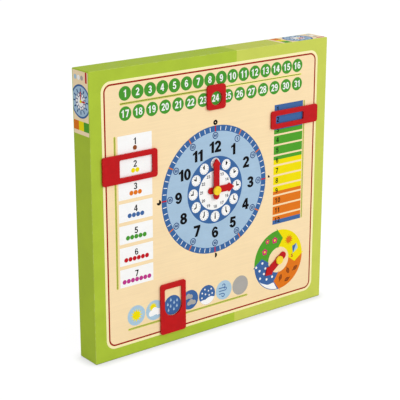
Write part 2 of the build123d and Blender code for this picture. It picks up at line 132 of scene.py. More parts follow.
def turned(centre: Point, size: float, turn: float) -> Lay:
    """Lay out a small sign.

    Args:
        centre: Its middle.
        size: Its unit.
        turn: How far it leans clockwise.

    Returns:
        From units across and along the sign, to its place.
    """

    def place(across: float, along: float) -> Point:
        """The place of a point of the sign."""
        end = on_dial(centre, along * size, turn)
        return on_dial(end, across * size, turn + 90)

    return place


def panel(x0: float, y0: float, x1: float, y1: float, corner: float = 0.0) -> Loop:
    """Outline a rectangle, with round corners where asked.

    Args:
        x0, y0: Its lower left corner.
        x1, y1: Its upper right corner.
        corner: The corners' radius.

    Returns:
        The closed outline.
    """
    if corner <= 0:
        return [(x0, y0), (x1, y0), (x1, y1), (x0, y1)]
    left, right, low, high = x0 + corner, x1 - corner, y0 + corner, y1 - corner
    outline: Loop = []
    for x, y, start in ((right, high, 0), (left, high, 90), (left, low, 180), (right, low, 270)):
        outline += sweep(x, y, corner, corner, start, start + 90)
    return outline


def bar(centre: Point, width: float, length: float, angle: float = 0.0) -> Loop:
    """Outline a straight bar.

    Args:
        centre: Its middle.
        width, length: Its sizes across and along.
        angle: How far its length turns clockwise from upright.

    Returns:
        The closed outline.
    """
    place = turned(centre, 0.5, angle)
    corners = ((-1, -1), (1, -1), (1, 1), (-1, 1))
    return [place(side * width, end * length) for side, end in corners]


def pie(centre: Point, radius: float, end: float) -> Loop:
    """A piece of a pie, from twelve to that angle."""
    angles = evenly(0.0, end, max(LEAST_STEPS, round(end / PIE_STEP)))
    return [*(on_dial(centre, radius, angle) for angle in angles), centre]


def star(centre: Point, outer: float, inner: float, arms: int) -> Loop:
    """A star of that many arms, the first upright."""
    spots = range(2 * arms)
    return [on_dial(centre, inner if k % 2 else outer, 180.0 * k / arms) for k in spots]


def lobes(centre: Point, circles: list[Triple], base: float) -> Loop:
    """Outline a cluster of circles as one shape, cut flat at the bottom.

    Args:
        centre: Where the cluster's origin goes; it lies inside the cluster.
        circles: Each circle's centre and radius, from that origin.
        base: The depth of the flat base below the origin.

    Returns:
        The closed outline.
    """
    outline = []
    for turn in evenly(0.0, math.tau, LOBE_STEPS)[:-1]:
        dx, dy = math.cos(turn), math.sin(turn)
        reach = 0.0
        for x, y, radius in circles:
            along = x * dx + y * dy
            inside = radius * radius - (x * x + y * y - along * along)
            if inside > 0:
                reach = max(reach, along + math.sqrt(inside))
        if dy < 0:
            reach = min(reach, base / -dy)
        outline.append((centre[0] + reach * dx, centre[1] + reach * dy))
    return outline


def stroke(path: Loop, width: float) -> Loop:
    """Thicken a line.

    Args:
        path: The line's points.
        width: Its width.

    Returns:
        The closed outline round it.
    """
    left, right = [], []
    for k, (x, y) in enumerate(path):
        ax, ay = path[max(k - 1, 0)]
        bx, by = path[min(k + 1, len(path) - 1)]
        size = math.hypot(bx - ax, by - ay)
        nx, ny = -(by - ay) / size * width / 2, (bx - ax) / size * width / 2
        left.append((x + nx, y + ny))
        right.append((x - nx, y - ny))
    return left + right[::-1]


def grown(loop: Loop, by: float) -> Loop:
    """Move an outline's edges outwards.

    Args:
        loop: The closed outline.
        by: How far; less than nought moves them inwards.

    Returns:
        The new outline, with as many points.
    """
    points = [Vector(point) for point in loop]
    following = points[1:] + points[:1]
    turns = sum(a.cross(b) for a, b in zip(points, following))
    ways = [(b - a).normalized() for a, b in zip(points, following)]
    outs = [Vector((way.y, -way.x)) * math.copysign(1.0, turns) for way in ways]
    moved = []
    for k, point in enumerate(points):
        mitre = max(MITRE_LIMIT, 1.0 + outs[k - 1].dot(outs[k]))
        moved.append(tuple(point + (outs[k - 1] + outs[k]) * (by / mitre)))
    return moved


# Numerals: each figure is one unit high. Its outlines are of points, and of arcs given as for sweep.

NINE_TURNS_ABOUT = (0.66, 1.0)
GLYPHS: dict[str, list[list[tuple[float, ...]]]] = {
    "0": [[(0.33, 0.5, 0.31, 0.5, 0, 351)], [(0.33, 0.5, 0.12, 0.34, 0, 351)]],
    "1": [[(0.24, 0), (0.44, 0), (0.44, 1), (0.3, 1), (0.21, 0.87), (0.05, 0.79), (0.05, 0.66),
           (0.24, 0.74)]],
    "2": [[(0.325, 0.7, 0.3, 0.3, 172, -38), (0.3, 0.19), (0.63, 0.19), (0.63, 0), (0.03, 0), (0.03, 0.1),
           (0.325, 0.7, 0.11, 0.125, -38, 172)]],
    "3": [[(0.32, 0.73, 0.285, 0.27, 168, -50), (0.325, 0.285, 0.305, 0.285, 52, -168),
           (0.325, 0.285, 0.115, 0.125, -168, 90), (0.235, 0.41), (0.235, 0.575),
           (0.32, 0.7, 0.105, 0.125, -90, 165)]],
    "4": [[(0.36, 0), (0.55, 0), (0.55, 0.22), (0.66, 0.22), (0.66, 0.39), (0.55, 0.39), (0.55, 1), (0.36, 1),
           (0.02, 0.4), (0.02, 0.22), (0.36, 0.22)], [(0.18, 0.39), (0.36, 0.39), (0.36, 0.72)]],
    "5": [[(0.13, 1), (0.6, 1), (0.6, 0.82), (0.29, 0.82), (0.27, 0.645),
           (0.33, 0.335, 0.31, 0.335, 95, -165), (0.33, 0.335, 0.12, 0.165, -165, 135), (0.07, 0.47)]],
    "6": [[(0.33, 0.5, 0.31, 0.5, 38, 270), (0.33, 0.325, 0.31, 0.325, -81, 118),
           (0.345, 0.62, 0.155, 0.22, 185, 35)], [(0.33, 0.325, 0.115, 0.155, 0, 351)]],
    "7": [[(0.03, 1), (0.64, 1), (0.64, 0.84), (0.34, 0), (0.13, 0), (0.42, 0.81), (0.03, 0.81)]],
    "8": [[(0.32, 0.735, 0.285, 0.265, -52.5, 232.5), (0.32, 0.285, 0.32, 0.285, 131, 409)],
          [(0.32, 0.74, 0.11, 0.12, 0, 351)], [(0.32, 0.28, 0.125, 0.135, 0, 351)]],
}


class Align(Enum):
    """Which part of a number sits on its place."""

    LEFT = 0.0
    MIDDLE = 0.5


@dataclass(frozen=True)
class Numerals:
    """Plain bold figures of one height.

    Attributes:
        height: The figures' height.
        advance: The step from one figure to the next, in figures as high as one unit.
        breadth: How much wider than drawn the figures are.
        weight: How much bolder than drawn, by how far their edges move out in that unit.
    """

    height: float
    advance: float = 0.69
    breadth: float = 1.0
    weight: float = 0.0

    def figure(self, sign: str) -> list[Loop]:
        """Outline one figure, one unit high as drawn. A nine is a six turned round.

        Args:
            sign: The figure.

        Returns:
            Its outline, then those of its holes.
        """
        outlines = []
        for k, parts in enumerate(GLYPHS["6" if sign == "9" else sign]):
            loop: Loop = []
            for part in parts:
                loop += [part] if len(part) == 2 else sweep(*part)
            if sign == "9":
                loop = [(NINE_TURNS_ABOUT[0] - x, NINE_TURNS_ABOUT[1] - y) for x, y in loop]
            outlines.append(grown(loop, -self.weight if k else self.weight))
        return outlines

    def number(self, value: int, at: Point, align: Align = Align.MIDDLE) -> list[Loop]:
        """Set a whole number.

        Args:
            value: The number.
            at: Its middle in height, and its middle or left end across.
            align: Which of these.

        Returns:
            The figures' outlines.
        """
        outlines = []
        for k, sign in enumerate(str(value)):
            outlines += [[(x + k * self.advance, y) for x, y in loop] for loop in self.figure(sign)]
        sides = [x for loop in outlines for x, _ in loop]
        start = min(sides) + align.value * (max(sides) - min(sides))
        unit = self.height / (1.0 + 2 * self.weight)
        return [[(at[0] + (x - start) * unit * self.breadth, at[1] + (y - 0.5) * unit) for x, y in loop]
                for loop in outlines]


# Finishes

NOISE_RANGE = (0.3, 0.7)
SCUFF_RANGE = (0.42, 0.66)
SIDE_FACING = (0.05, 0.35)
FRONT_FACING = (0.86, 0.97)
MIX_SHARE, MIX_FIRST, MIX_SECOND, MIX_RESULT = 0, 6, 7, 2
BOARD_WOOD = (1.3, 3.0, (0.03, 1.0, 1.0))
WOOD_OVER_GRAIN = 1.6


def linear(colour: Colour, gain: float = 1.0) -> tuple[float, ...]:
    """Turn a screen colour into a shader colour.

    Args:
        colour: The screen colour.
        gain: How much brighter it gets.

    Returns:
        Its light, and full opacity.
    """
    shares = [c / 255 for c in colour]
    light = [s / 12.92 if s <= 0.04045 else ((s + 0.055) / 1.055) ** 2.4 for s in shares]
    return *(min(1.0, v * gain) for v in light), 1.0


class Nodes:
    """A node tree in the making."""

    def __init__(self, tree: bpy.types.NodeTree) -> None:
        """Work on that tree."""
        self.tree = tree

    def node(self, kind: str, inputs: Inputs | None = None, **settings: str) -> bpy.types.Node:
        """Add a node.

        Args:
            kind: Its type.
            inputs: What its sockets get, by their names or numbers.
            settings: Its settings.

        Returns:
            The node.
        """
        made = self.tree.nodes.new(kind)
        for key, value in settings.items():
            setattr(made, key, value)
        self.feed(made, inputs or {})
        return made

    def feed(self, node: bpy.types.Node, inputs: Inputs) -> None:
        """Link a node's sockets, or set them.

        Args:
            node: The node.
            inputs: What its sockets get, by their names or numbers.
        """
        for key, value in inputs.items():
            if isinstance(value, Socket):
                self.tree.links.new(value, node.inputs[key])
            else:
                node.inputs[key].default_value = value

    def math(self, operation: str, *values: Input) -> Socket:
        """The result of a Math node."""
        return self.node("ShaderNodeMath", dict(enumerate(values)), operation=operation).outputs[0]

    def vector(self, *parts: Input) -> Socket:
        """A vector of those parts."""
        return self.node("ShaderNodeCombineXYZ", dict(enumerate(parts))).outputs[0]

    def parts(self, vector: Input) -> tuple[Socket, ...]:
        """A vector's X, Y and Z."""
        return tuple(self.node("ShaderNodeSeparateXYZ", {0: vector}).outputs)

    def ramp(self, value: Input, low: float, high: float, to: Point = (0.0, 1.0),
             kind: str = "SMOOTHSTEP") -> Socket:
        """Spread a value.

        Args:
            value: What to spread.
            low, high: Where the ramp starts and ends.
            to: The results there.
            kind: How it goes from one to the other.

        Returns:
            The spread value.
        """
        inputs = dict(enumerate((value, low, high, *to)))
        return self.node("ShaderNodeMapRange", inputs, interpolation_type=kind).outputs[0]


class Bench(Nodes):
    """A workbench for one material's nodes."""

    def __init__(self, name: str) -> None:
        """Start a material, with its shader and its place in the part.

        Args:
            name: The material's name.
        """
        self.material = bpy.data.materials.new(name)
        self.material.use_nodes = True
        super().__init__(self.material.node_tree)
        self.shader = self.tree.nodes["Principled BSDF"]
        self.place = self.node("ShaderNodeTexCoord").outputs["Object"]

    def set(self, **values: Input) -> None:
        """Feed the shader's sockets, named with _ for each space."""
        self.feed(self.shader, {key.replace("_", " "): value for key, value in values.items()})

    def noise(self, grain: float, detail: float = 2.0, stretch: Triple | None = None) -> Socket:
        """Add noise.

        Args:
            grain: The size of its blots in millimetres.
            detail: How many finer octaves it has.
            stretch: How much the place is scaled along X, Y and Z.

        Returns:
            A value round one half.
        """
        place = self.place
        if stretch:
            place = self.node("ShaderNodeMapping", {"Vector": place, "Scale": stretch}).outputs[0]
        inputs = {"Vector": place, "Scale": 1 / (grain * MM), "Detail": detail}
        return self.node("ShaderNodeTexNoise", inputs).outputs[0]

    def spread(self, noise: Input, low: float = 0.0, high: float = 1.0) -> Socket:
        """Noise, spread to go from low to high."""
        return self.ramp(noise, *NOISE_RANGE, (low, high))

    def past(self, value: Input, limit: float, blur: float) -> Socket:
        """One where a length is past that limit, over an edge blurred that far either way."""
        return self.ramp(value, (limit - blur) * MM, (limit + blur) * MM)

    def mix(self, share: Input, first: Input, second: Input) -> Socket:
        """The colour between first and second at that share."""
        inputs = {MIX_SHARE: share, MIX_FIRST: first, MIX_SECOND: second}
        return self.node("ShaderNodeMix", inputs, data_type="RGBA").outputs[MIX_RESULT]

    def tone(self, colour: Colour, drift: float, value: Input) -> Socket:
        """A colour that drifts by that share either way with the value."""
        return self.mix(value, linear(colour, 1 - drift), linear(colour, 1 + drift))

    def blend(self, *parts: tuple[float, Input]) -> Socket:
        """Add noises up.

        Args:
            parts: The share of each, and the noise.

        Returns:
            Their sum, spread to use the whole range.
        """
        total = self.math("MULTIPLY", parts[0][1], parts[0][0])
        for share, value in parts[1:]:
            total = self.math("MULTIPLY_ADD", value, share, total)
        return self.spread(total)

    def rounded(self) -> Socket:
        """Find edges that turn from a face in front or behind to a side.

        Returns:
            One on such an edge, nought on either face.
        """
        normal = self.node("ShaderNodeNewGeometry").outputs["Normal"]
        facing = self.math("ABSOLUTE", self.parts(normal)[1])
        return self.math("MULTIPLY", self.ramp(facing, *SIDE_FACING),
                         self.ramp(facing, *FRONT_FACING, (1.0, 0.0)))

    def bump(self, height: Input, depth: float, strength: float) -> None:
        """Raise the surface by height, depth millimetres at most."""
        made = self.node("ShaderNodeBump", {"Strength": strength, "Distance": depth * MM, "Height": height})
        self.set(Normal=made.outputs[0])


@dataclass(frozen=True)
class Finish:
    """A finish that makes its material once.

    Attributes:
        name: The material's name.
        colour: Its screen colour, or the first of them.
        drift: The share by which that colour drifts either way.
        dullness: The least and the most roughness.
        gloss: Its specular level.
        relief, strength: How high its bumps stand, and how strongly they show.
    """

    name: str
    colour: Colour = (255, 255, 255)
    drift: float = 0.05
    dullness: Point = (0.46, 0.6)
    gloss: float = 0.5
    relief: float = 0.03
    strength: float = 0.3

    def material(self) -> bpy.types.Material:
        """Find the material, or make it on first use.

        Returns:
            The material.
        """
        known = bpy.data.materials.get(self.name)
        if known:
            return known
        bench = Bench(self.name)
        self.make(bench)
        return bench.material

    def make(self, bench: Bench) -> None:
        """Lay the nodes on the bench."""
        raise NotImplementedError

    def coat(self, bench: Bench, colour: Input, dull: Input, height: Input, **extra: Input) -> None:
        """Feed the shader.

        Args:
            bench: The material's bench.
            colour: Its colour.
            dull: The noise that its roughness follows.
            height: The height of its bumps.
            extra: Its other sockets, as for Bench.set.
        """
        bench.set(Base_Color=colour, Roughness=bench.spread(dull, *self.dullness),
                  Specular_IOR_Level=self.gloss, **extra)
        bench.bump(height, self.relief, self.strength)


@dataclass(frozen=True)
class Ink(Finish):
    """Printed ink under a satin film, with the board's wood under it."""

    drift: float = 0.055
    dullness: Point = (0.46, 0.58)
    gloss: float = 0.06
    relief: float = 0.025

    @property
    def label(self) -> str:
        """The short name of a month's ink, for what it prints."""
        return self.name.removeprefix("ink_month_")

    def make(self, bench: Bench) -> None:
        """Lay screen grain, a slow drift of density and the wood.

        Args:
            bench: The material's bench.
        """
        grain, slow, wood = bench.noise(0.35), bench.noise(14.0, 3.0), bench.noise(*BOARD_WOOD)
        density = bench.blend((0.4, grain), (0.3, slow), (0.3, wood))
        self.coat(bench, bench.tone(self.colour, self.drift, density), slow,
                  bench.math("MULTIPLY_ADD", wood, WOOD_OVER_GRAIN, grain))


@dataclass(frozen=True)
class CasePrint(Finish):
    """Green printed card in two tones, paler where the edges are rubbed, with painted shade darkening it
    along the base.

    Attributes:
        split, blur: The X where the second tone starts, and how soft that edge is.
        pale, pale_drift: The second tone and its drift.
        core, worn_edge, worn: The card's colour at rubbed edges, how far these reach, and how bare they are.
        soil, soiled_edge, soiled: The painted shade's colour along the base, where it fades out, and how
            strong it is.
    """

    colour: Colour = (173, 197, 61)
    gloss: float = 0.03
    strength: float = 0.35
    split: float = 33.0
    blur: float = 0.15
    pale: Colour = (200, 209, 91)
    pale_drift: float = 0.04
    core: Colour = (226, 232, 170)
    worn_edge: float = 0.9
    worn: Point = (0.05, 0.4)
    soil: Colour = (84, 92, 44)
    soiled_edge: Point = (0.3, 1.7)
    soiled: Point = (0.45, 0.7)

    def make(self, bench: Bench) -> None:
        """Lay two tones by X, paper fibre, wear by the distance to the case's edges, and painted shade by
        height.

        Args:
            bench: The material's bench.
        """
        x, y, z = bench.parts(bench.place)
        high = CAD_BOX[1]
        grain, slow, scuff = bench.noise(0.5), bench.noise(22.0, 3.0), bench.noise(5.0, 4.0)
        fibre = bench.blend((0.5, grain), (0.5, slow))
        green = bench.mix(bench.past(x, self.split, self.blur), bench.tone(self.colour, self.drift, fibre),
                          bench.tone(self.pale, self.pale_drift, fibre))
        to_side = bench.math("SUBTRACT", high.x, bench.math("ABSOLUTE", x))
        to_end = bench.math("MINIMUM", z, bench.math("SUBTRACT", high.z, z))
        to_face = bench.math("SUBTRACT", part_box("rear_cover")[1].y, bench.math("ABSOLUTE", y))
        nearest = bench.math("MINIMUM", to_side, to_end)
        other = bench.math("MAXIMUM", to_side, to_end)
        edge = bench.math("MAXIMUM", nearest, bench.math("MINIMUM", other, to_face))
        low, top = (height * MM for height in self.soiled_edge)
        worn = bench.math("MULTIPLY", bench.ramp(edge, 0.0, self.worn_edge * MM, (1.0, 0.0)),
                          bench.ramp(scuff, *SCUFF_RANGE, self.worn))
        # Painted shade: the card darkens towards the base, where the case stands on the floor.
        base_shade_mask = bench.math("MULTIPLY", bench.ramp(z, low, top, (1.0, 0.0)),
                          bench.ramp(scuff, 0.3, 0.6, self.soiled))
        rubbed = bench.mix(worn, green, linear(self.core))
        self.coat(bench, bench.mix(base_shade_mask, rubbed, linear(self.soil)), slow,
                  bench.math("ADD", grain, bench.math("MULTIPLY", scuff, 0.6)))


@dataclass(frozen=True)
class BoardPrint(Finish):
    """The face board: beige field, cream margin, slots in olive paint brightened as painted light, raw board
    behind.

    Attributes:
        inset, corner, blur: How far the field lies inside the board's edge, its corners and its soft edge.
        margin, slot, raw: The colours round the field, in the slots (painted light: bright against their
            shade) and behind.
        margin_drift, slot_drift, raw_drift: Their drifts.
        print_depth, raw_depth, depth_blur: How deep the print goes from the front and the raw board from
            behind, and how soft these edges are.
    """

    colour: Colour = (251, 225, 180)
    drift: float = 0.04
    gloss: float = 0.06
    inset: float = 4.3
    corner: float = 9.4
    blur: float = 0.1
    margin: Colour = (254, 241, 186)
    slot: Colour = (228, 242, 130)
    raw: Colour = (176, 140, 98)
    margin_drift: float = 0.03
    slot_drift: float = 0.06
    raw_drift: float = 0.2
    print_depth: float = 0.3
    raw_depth: float = 0.15
    depth_blur: float = 0.05

    def make(self, bench: Bench) -> None:
        """Lay the field by its distance to a rounded rectangle, and the rest by depth.

        Args:
            bench: The material's bench.
        """
        x, y, z = bench.parts(bench.place)
        low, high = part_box("face_board")
        middle, half = (low + high) / 2, (high - low) / 2
        grain, slow, wood = bench.noise(0.45), bench.noise(30.0, 3.0), bench.noise(*BOARD_WOOD)
        squares = []
        for axis, centre, span in ((x, middle.x, half.x), (z, middle.z, half.z)):
            off = bench.math("ABSOLUTE", bench.math("SUBTRACT", axis, centre))
            straight = span - (self.inset + self.corner) * MM
            beyond = bench.math("MAXIMUM", bench.math("SUBTRACT", off, straight), 0.0)
            squares.append(bench.math("MULTIPLY", beyond, beyond))
        away = bench.math("SQRT", bench.math("ADD", *squares))
        density = bench.blend((0.3, grain), (0.3, slow), (0.4, wood))
        printed = bench.mix(bench.past(away, self.corner, self.blur),
                            bench.tone(self.colour, self.drift, density),
                            bench.tone(self.margin, self.margin_drift, density))
        deep = bench.past(y, low.y / MM + self.print_depth, self.depth_blur)
        back = bench.past(y, high.y / MM - self.raw_depth, self.depth_blur)
        # Painted light: the slot walls take a bright olive that offsets the shade inside the narrow slots.
        walls = bench.mix(back, bench.tone(self.slot, self.slot_drift, grain),
                          bench.tone(self.raw, self.raw_drift, grain))
        self.coat(bench, bench.mix(deep, printed, walls), slow,
                  bench.math("MULTIPLY_ADD", wood, WOOD_OVER_GRAIN, grain))


@dataclass(frozen=True)
class Lacquer(Finish):
    """Red lacquer on wood, whose grain shows faintly through, rubbed thin along the edges.

    Attributes:
        thin, worn: Its colour where it is rubbed, and how bare that is.
        along: How the grain is stretched along X, Y and Z.
    """

    colour: Colour = (192, 14, 20)
    drift: float = 0.08
    dullness: Point = (0.32, 0.44)
    gloss: float = 0.12
    relief: float = 0.06
    strength: float = 0.35
    thin: Colour = (222, 92, 70)
    worn: Point = (0.08, 0.5)
    along: Triple = (0.08, 1.0, 1.0)

    def make(self, bench: Bench) -> None:
        """Lay a satin coat with a soft ripple over the wood's grain.

        Args:
            bench: The material's bench.
        """
        grain, ripple = bench.noise(0.7, 3.0, self.along), bench.noise(2.2, 1.0)
        slow, scuff = bench.noise(9.0, 2.0), bench.noise(3.5, 4.0)
        red = bench.tone(self.colour, self.drift, bench.blend((0.5, slow), (0.5, grain)))
        worn = bench.math("MULTIPLY", bench.rounded(), bench.ramp(scuff, *SCUFF_RANGE, self.worn))
        self.coat(bench, bench.mix(worn, red, linear(self.thin)), ripple, bench.math("ADD", grain, ripple))


@dataclass(frozen=True)
class Moulding(Finish):
    """Glossy moulded plastic with faint flow marks."""

    colour: Colour = (247, 214, 34)
    drift: float = 0.06
    dullness: Point = (0.28, 0.4)
    gloss: float = 0.25
    relief: float = 0.015

    def make(self, bench: Bench) -> None:
        """Let flow marks drift the colour, and fine pores break the gloss.

        Args:
            bench: The material's bench.
        """
        flow, pores = bench.noise(4.0, 2.0), bench.noise(0.25)
        self.coat(bench, bench.tone(self.colour, self.drift, bench.spread(flow)), flow, pores)


@dataclass(frozen=True)
class Hardboard(Finish):
    """Brown hardboard with the imprint of its pressing screen.

    Attributes:
        mesh: The screen's pitch.
        fibres: How the fibres are stretched along X, Y and Z.
    """

    colour: Colour = (146, 108, 73)
    drift: float = 0.28
    dullness: Point = (0.62, 0.82)
    gloss: float = 0.25
    relief: float = 0.12
    strength: float = 0.5
    mesh: float = 1.9
    fibres: Triple = (1.0, 1.0, 0.35)

    def make(self, bench: Bench) -> None:
        """Lay matted fibres, and a grid of small dents.

        Args:
            bench: The material's bench.
        """
        x, _, z = bench.parts(bench.place)
        waves = [bench.math("SINE", bench.math("MULTIPLY", a, math.tau / (self.mesh * MM))) for a in (x, z)]
        dents = bench.math("MULTIPLY", *waves)
        fibre, slow = bench.noise(0.7, 5.0, self.fibres), bench.noise(28.0, 3.0)
        matted = bench.blend((0.85, fibre), (0.15, slow), (0.05, dents))
        self.coat(bench, bench.tone(self.colour, self.drift, matted), fibre,
                  bench.math("ADD", bench.math("MULTIPLY", dents, 0.5), fibre))


@dataclass(frozen=True)
class Timber(Finish):
    """Planed softwood.

    Attributes:
        along: How the grain is stretched along X, Y and Z.
        rings: How many rings the coarse grain is cut into.
    """

    colour: Colour = (214, 176, 122)
    drift: float = 0.16
    dullness: Point = (0.55, 0.7)
    relief: float = 0.06
    strength: float = 0.4
    along: Triple = (0.05, 1.0, 1.0)
    rings: float = 7.0

    def make(self, bench: Bench) -> None:
        """Lay long rings and short pores along the grain.

        Args:
            bench: The material's bench.
        """
        coarse, pores = bench.noise(3.0, 2.0, self.along), bench.noise(0.4, 3.0, self.along)
        bands = bench.math("FRACT", bench.math("MULTIPLY", coarse, self.rings))
        wood = bench.math("ADD", bench.math("MULTIPLY", bands, 0.6), bench.math("MULTIPLY", pores, 0.4))
        self.coat(bench, bench.tone(self.colour, self.drift, wood), pores, pores)


@dataclass(frozen=True)
class PlatedSteel(Finish):
    """Plated steel, finely scratched.

    Attributes:
        scratches: How the scratches are stretched along X, Y and Z.
    """

    colour: Colour = (196, 196, 192)
    drift: float = 0.06
    dullness: Point = (0.26, 0.42)
    relief: float = 0.01
    scratches: Triple = (0.2, 1.0, 1.0)

    def make(self, bench: Bench) -> None:
        """Lay bright metal with a drifting dullness.

        Args:
            bench: The material's bench.
        """
        scratch, slow = bench.noise(0.3, 3.0, self.scratches), bench.noise(2.0)
        self.coat(bench, bench.tone(self.colour, self.drift, slow), scratch, scratch, Metallic=1.0)


@dataclass(frozen=True)
class Pressed(Finish):
    """Pressed fibres: felt pads, or hard washers.

    Attributes:
        sheen: The soft glow of the nap.
    """

    colour: Colour = (92, 98, 94)
    drift: float = 0.25
    dullness: Point = (0.8, 0.95)
    relief: float = 0.25
    strength: float = 0.6
    sheen: float = 0.4

    def make(self, bench: Bench) -> None:
        """Lay fibres of two sizes over each other.

        Args:
            bench: The material's bench.
        """
        coarse, fine = bench.noise(0.9, 4.0), bench.noise(0.2, 3.0)
        fibres = bench.blend((0.5, coarse), (0.5, fine))
        self.coat(bench, bench.tone(self.colour, self.drift, fibres), fine, fibres, Sheen_Weight=self.sheen)


WHITE = Ink("ink_white", (254, 254, 252))
BLACK = Ink("ink_black", (6, 6, 8))
GREY = Ink("ink_grey", (174, 171, 166))
SOFT_GREY = Ink("ink_soft_grey", (112, 114, 124))
DARK_GREY = Ink("ink_dark_grey", (80, 82, 92))
LINE_RED = Ink("ink_line_red", (160, 32, 12))
RED = Ink("ink_red", (196, 22, 32))
DATE_GREEN = Ink("ink_date_green", (72, 152, 48))
# The olive inks are print, lightened as painted light to offset the shade of the slots they line.
OLIVE = Ink("ink_olive", (204, 206, 86))
MONTH_OLIVE = Ink("ink_month_olive", (218, 214, 128))
PALE_OLIVE = Ink("ink_pale_olive", (250, 246, 138))
DIAL_BLUE = Ink("ink_dial_blue", (60, 103, 160))
FIGURE_BLUE = Ink("ink_figure_blue", (30, 64, 120))
LIGHT_BLUE = Ink("ink_light_blue", (168, 196, 220))
SKY_BLUE = Ink("ink_sky_blue", (172, 203, 224))
MONTH_BLUE = Ink("ink_month_blue", (65, 104, 162))
MONTH_GREEN = Ink("ink_month_green", (80, 161, 44))
MONTH_YELLOW = Ink("ink_month_yellow", (242, 224, 4))
MONTH_ORANGE = Ink("ink_month_orange", (226, 119, 28))
BROWN = Ink("ink_brown", (146, 78, 38))
LEAF_BROWN = Ink("ink_leaf_brown", (134, 66, 26))
PINK = Ink("ink_pink", (208, 46, 116))
PURPLE = Ink("ink_purple", (192, 58, 140))
CREAM = Ink("ink_cream", (254, 241, 186))
BEIGE = Ink("ink_beige", (251, 226, 186))


# Printing

FILM_SUNK = 0.05
FILM_MERGE = 1e-4
STAMP_MERGE = 1e-5
STAMP_STEPS = 40


class Face(Enum):
    """A flat side of the case that takes ink: its right, its upward direction and its level."""

    FRONT = ((1, 0, 0), (0, 0, 1), -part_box("face_board")[0].y)
    LEFT = ((0, -1, 0), (0, 0, 1), -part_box("left_wall")[0].x)
    TOP = ((1, 0, 0), (0, 1, 0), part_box("top_wall")[1].z)

    def matrix(self) -> Matrix:
        """Place the face.

        Returns:
            From millimetres on the face, and out of it, to metres in the part.
        """
        right, up = Vector(self.value[0]), Vector(self.value[1])
        out = right.cross(up)
        turn = Matrix((right, up, out)).transposed().to_4x4()
        return Matrix.Translation(out * self.value[2]) @ turn @ Matrix.Scale(MM, 4)


class Layer(Enum):
    """How far a film's top stands off the face."""

    GROUND = 0.05
    FIRST = 0.09
    SECOND = 0.13
    THIRD = 0.17
    FOURTH = 0.21
    FIFTH = 0.25

    @property
    def thick(self) -> float:
        """A film's whole thickness, down to where it is sunk in the face."""
        return self.value + FILM_SUNK

    @property
    def middle(self) -> float:
        """How far the middle of that thickness stands off the face."""
        return self.value - self.thick / 2


def settle(mesh: bpy.types.Mesh, matrix: Matrix, merge: float) -> None:
    """Close a mesh's seams, turn its faces outwards and put it in its place.

    Args:
        mesh: The mesh.
        matrix: Its place.
        merge: How near points are joined, in the mesh's own units.
    """
    work = bmesh.new()
    work.from_mesh(mesh)
    bmesh.ops.remove_doubles(work, verts=work.verts, dist=merge)
    bmesh.ops.recalc_face_normals(work, faces=work.faces)
    work.transform(matrix)
    work.to_mesh(mesh)
    work.free()


def hand_in(name: str, mesh: bpy.types.Mesh, slot: str, body: str = "case") -> None:
    """Put a finished mesh in the scene.

    Args:
        name: The piece's name.
        mesh: Its mesh, with its material.
        slot: The record's material slot; not used.
        body: The body it rides on.
    """
    mesh.name = name
    piece = bpy.data.objects.new(name, mesh)
    bpy.context.scene.collection.objects.link(piece)
    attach(piece, body)
    log.info("%s: %d faces on %s", name, len(mesh.polygons), body)


@dataclass(frozen=True)
class Press:
    """Lays films of ink on one face of the case.

    Attributes:
        face: The face.
        slot: The record's material slot of what it prints.
    """

    face: Face = Face.FRONT
    slot: str = "face_beige"

    def film(self, name: str, ink: Ink, layer: Layer, loops: list[Loop]) -> None:
        """Print closed outlines, where one inside another is a hole.

        Args:
            name: The piece's name.
            ink: Its ink.
            layer: How high it stands.
            loops: The outlines.
        """
        curve = bpy.data.curves.new(name, "CURVE")
        curve.dimensions = "2D"
        curve.fill_mode = "BOTH"
        curve.extrude = layer.thick / 2
        for loop in loops:
            spline = curve.splines.new("POLY")
            spline.points.add(len(loop) - 1)
            spline.points.foreach_set("co", [c for x, y in loop for c in (x, y, 0.0, 1.0)])
            spline.use_cyclic_u = True
        holder = bpy.data.objects.new(name, curve)
        mesh = bpy.data.meshes.new_from_object(holder)
        bpy.data.objects.remove(holder)
        bpy.data.curves.remove(curve)
        settle(mesh, self.face.matrix() @ Matrix.Translation((0, 0, layer.middle)), FILM_MERGE)
        mesh.materials.clear()
        mesh.materials.append(ink.material())
        hand_in(name, mesh, self.slot)


FRONT = Press()


class Stamp(Enum):
    """The shape that a repeat prints."""

    BAR = "bar"
    DISC = "disc"


class Layout(Enum):
    """How a repeat is laid out."""

    ROW = "row"
    RING = "ring"


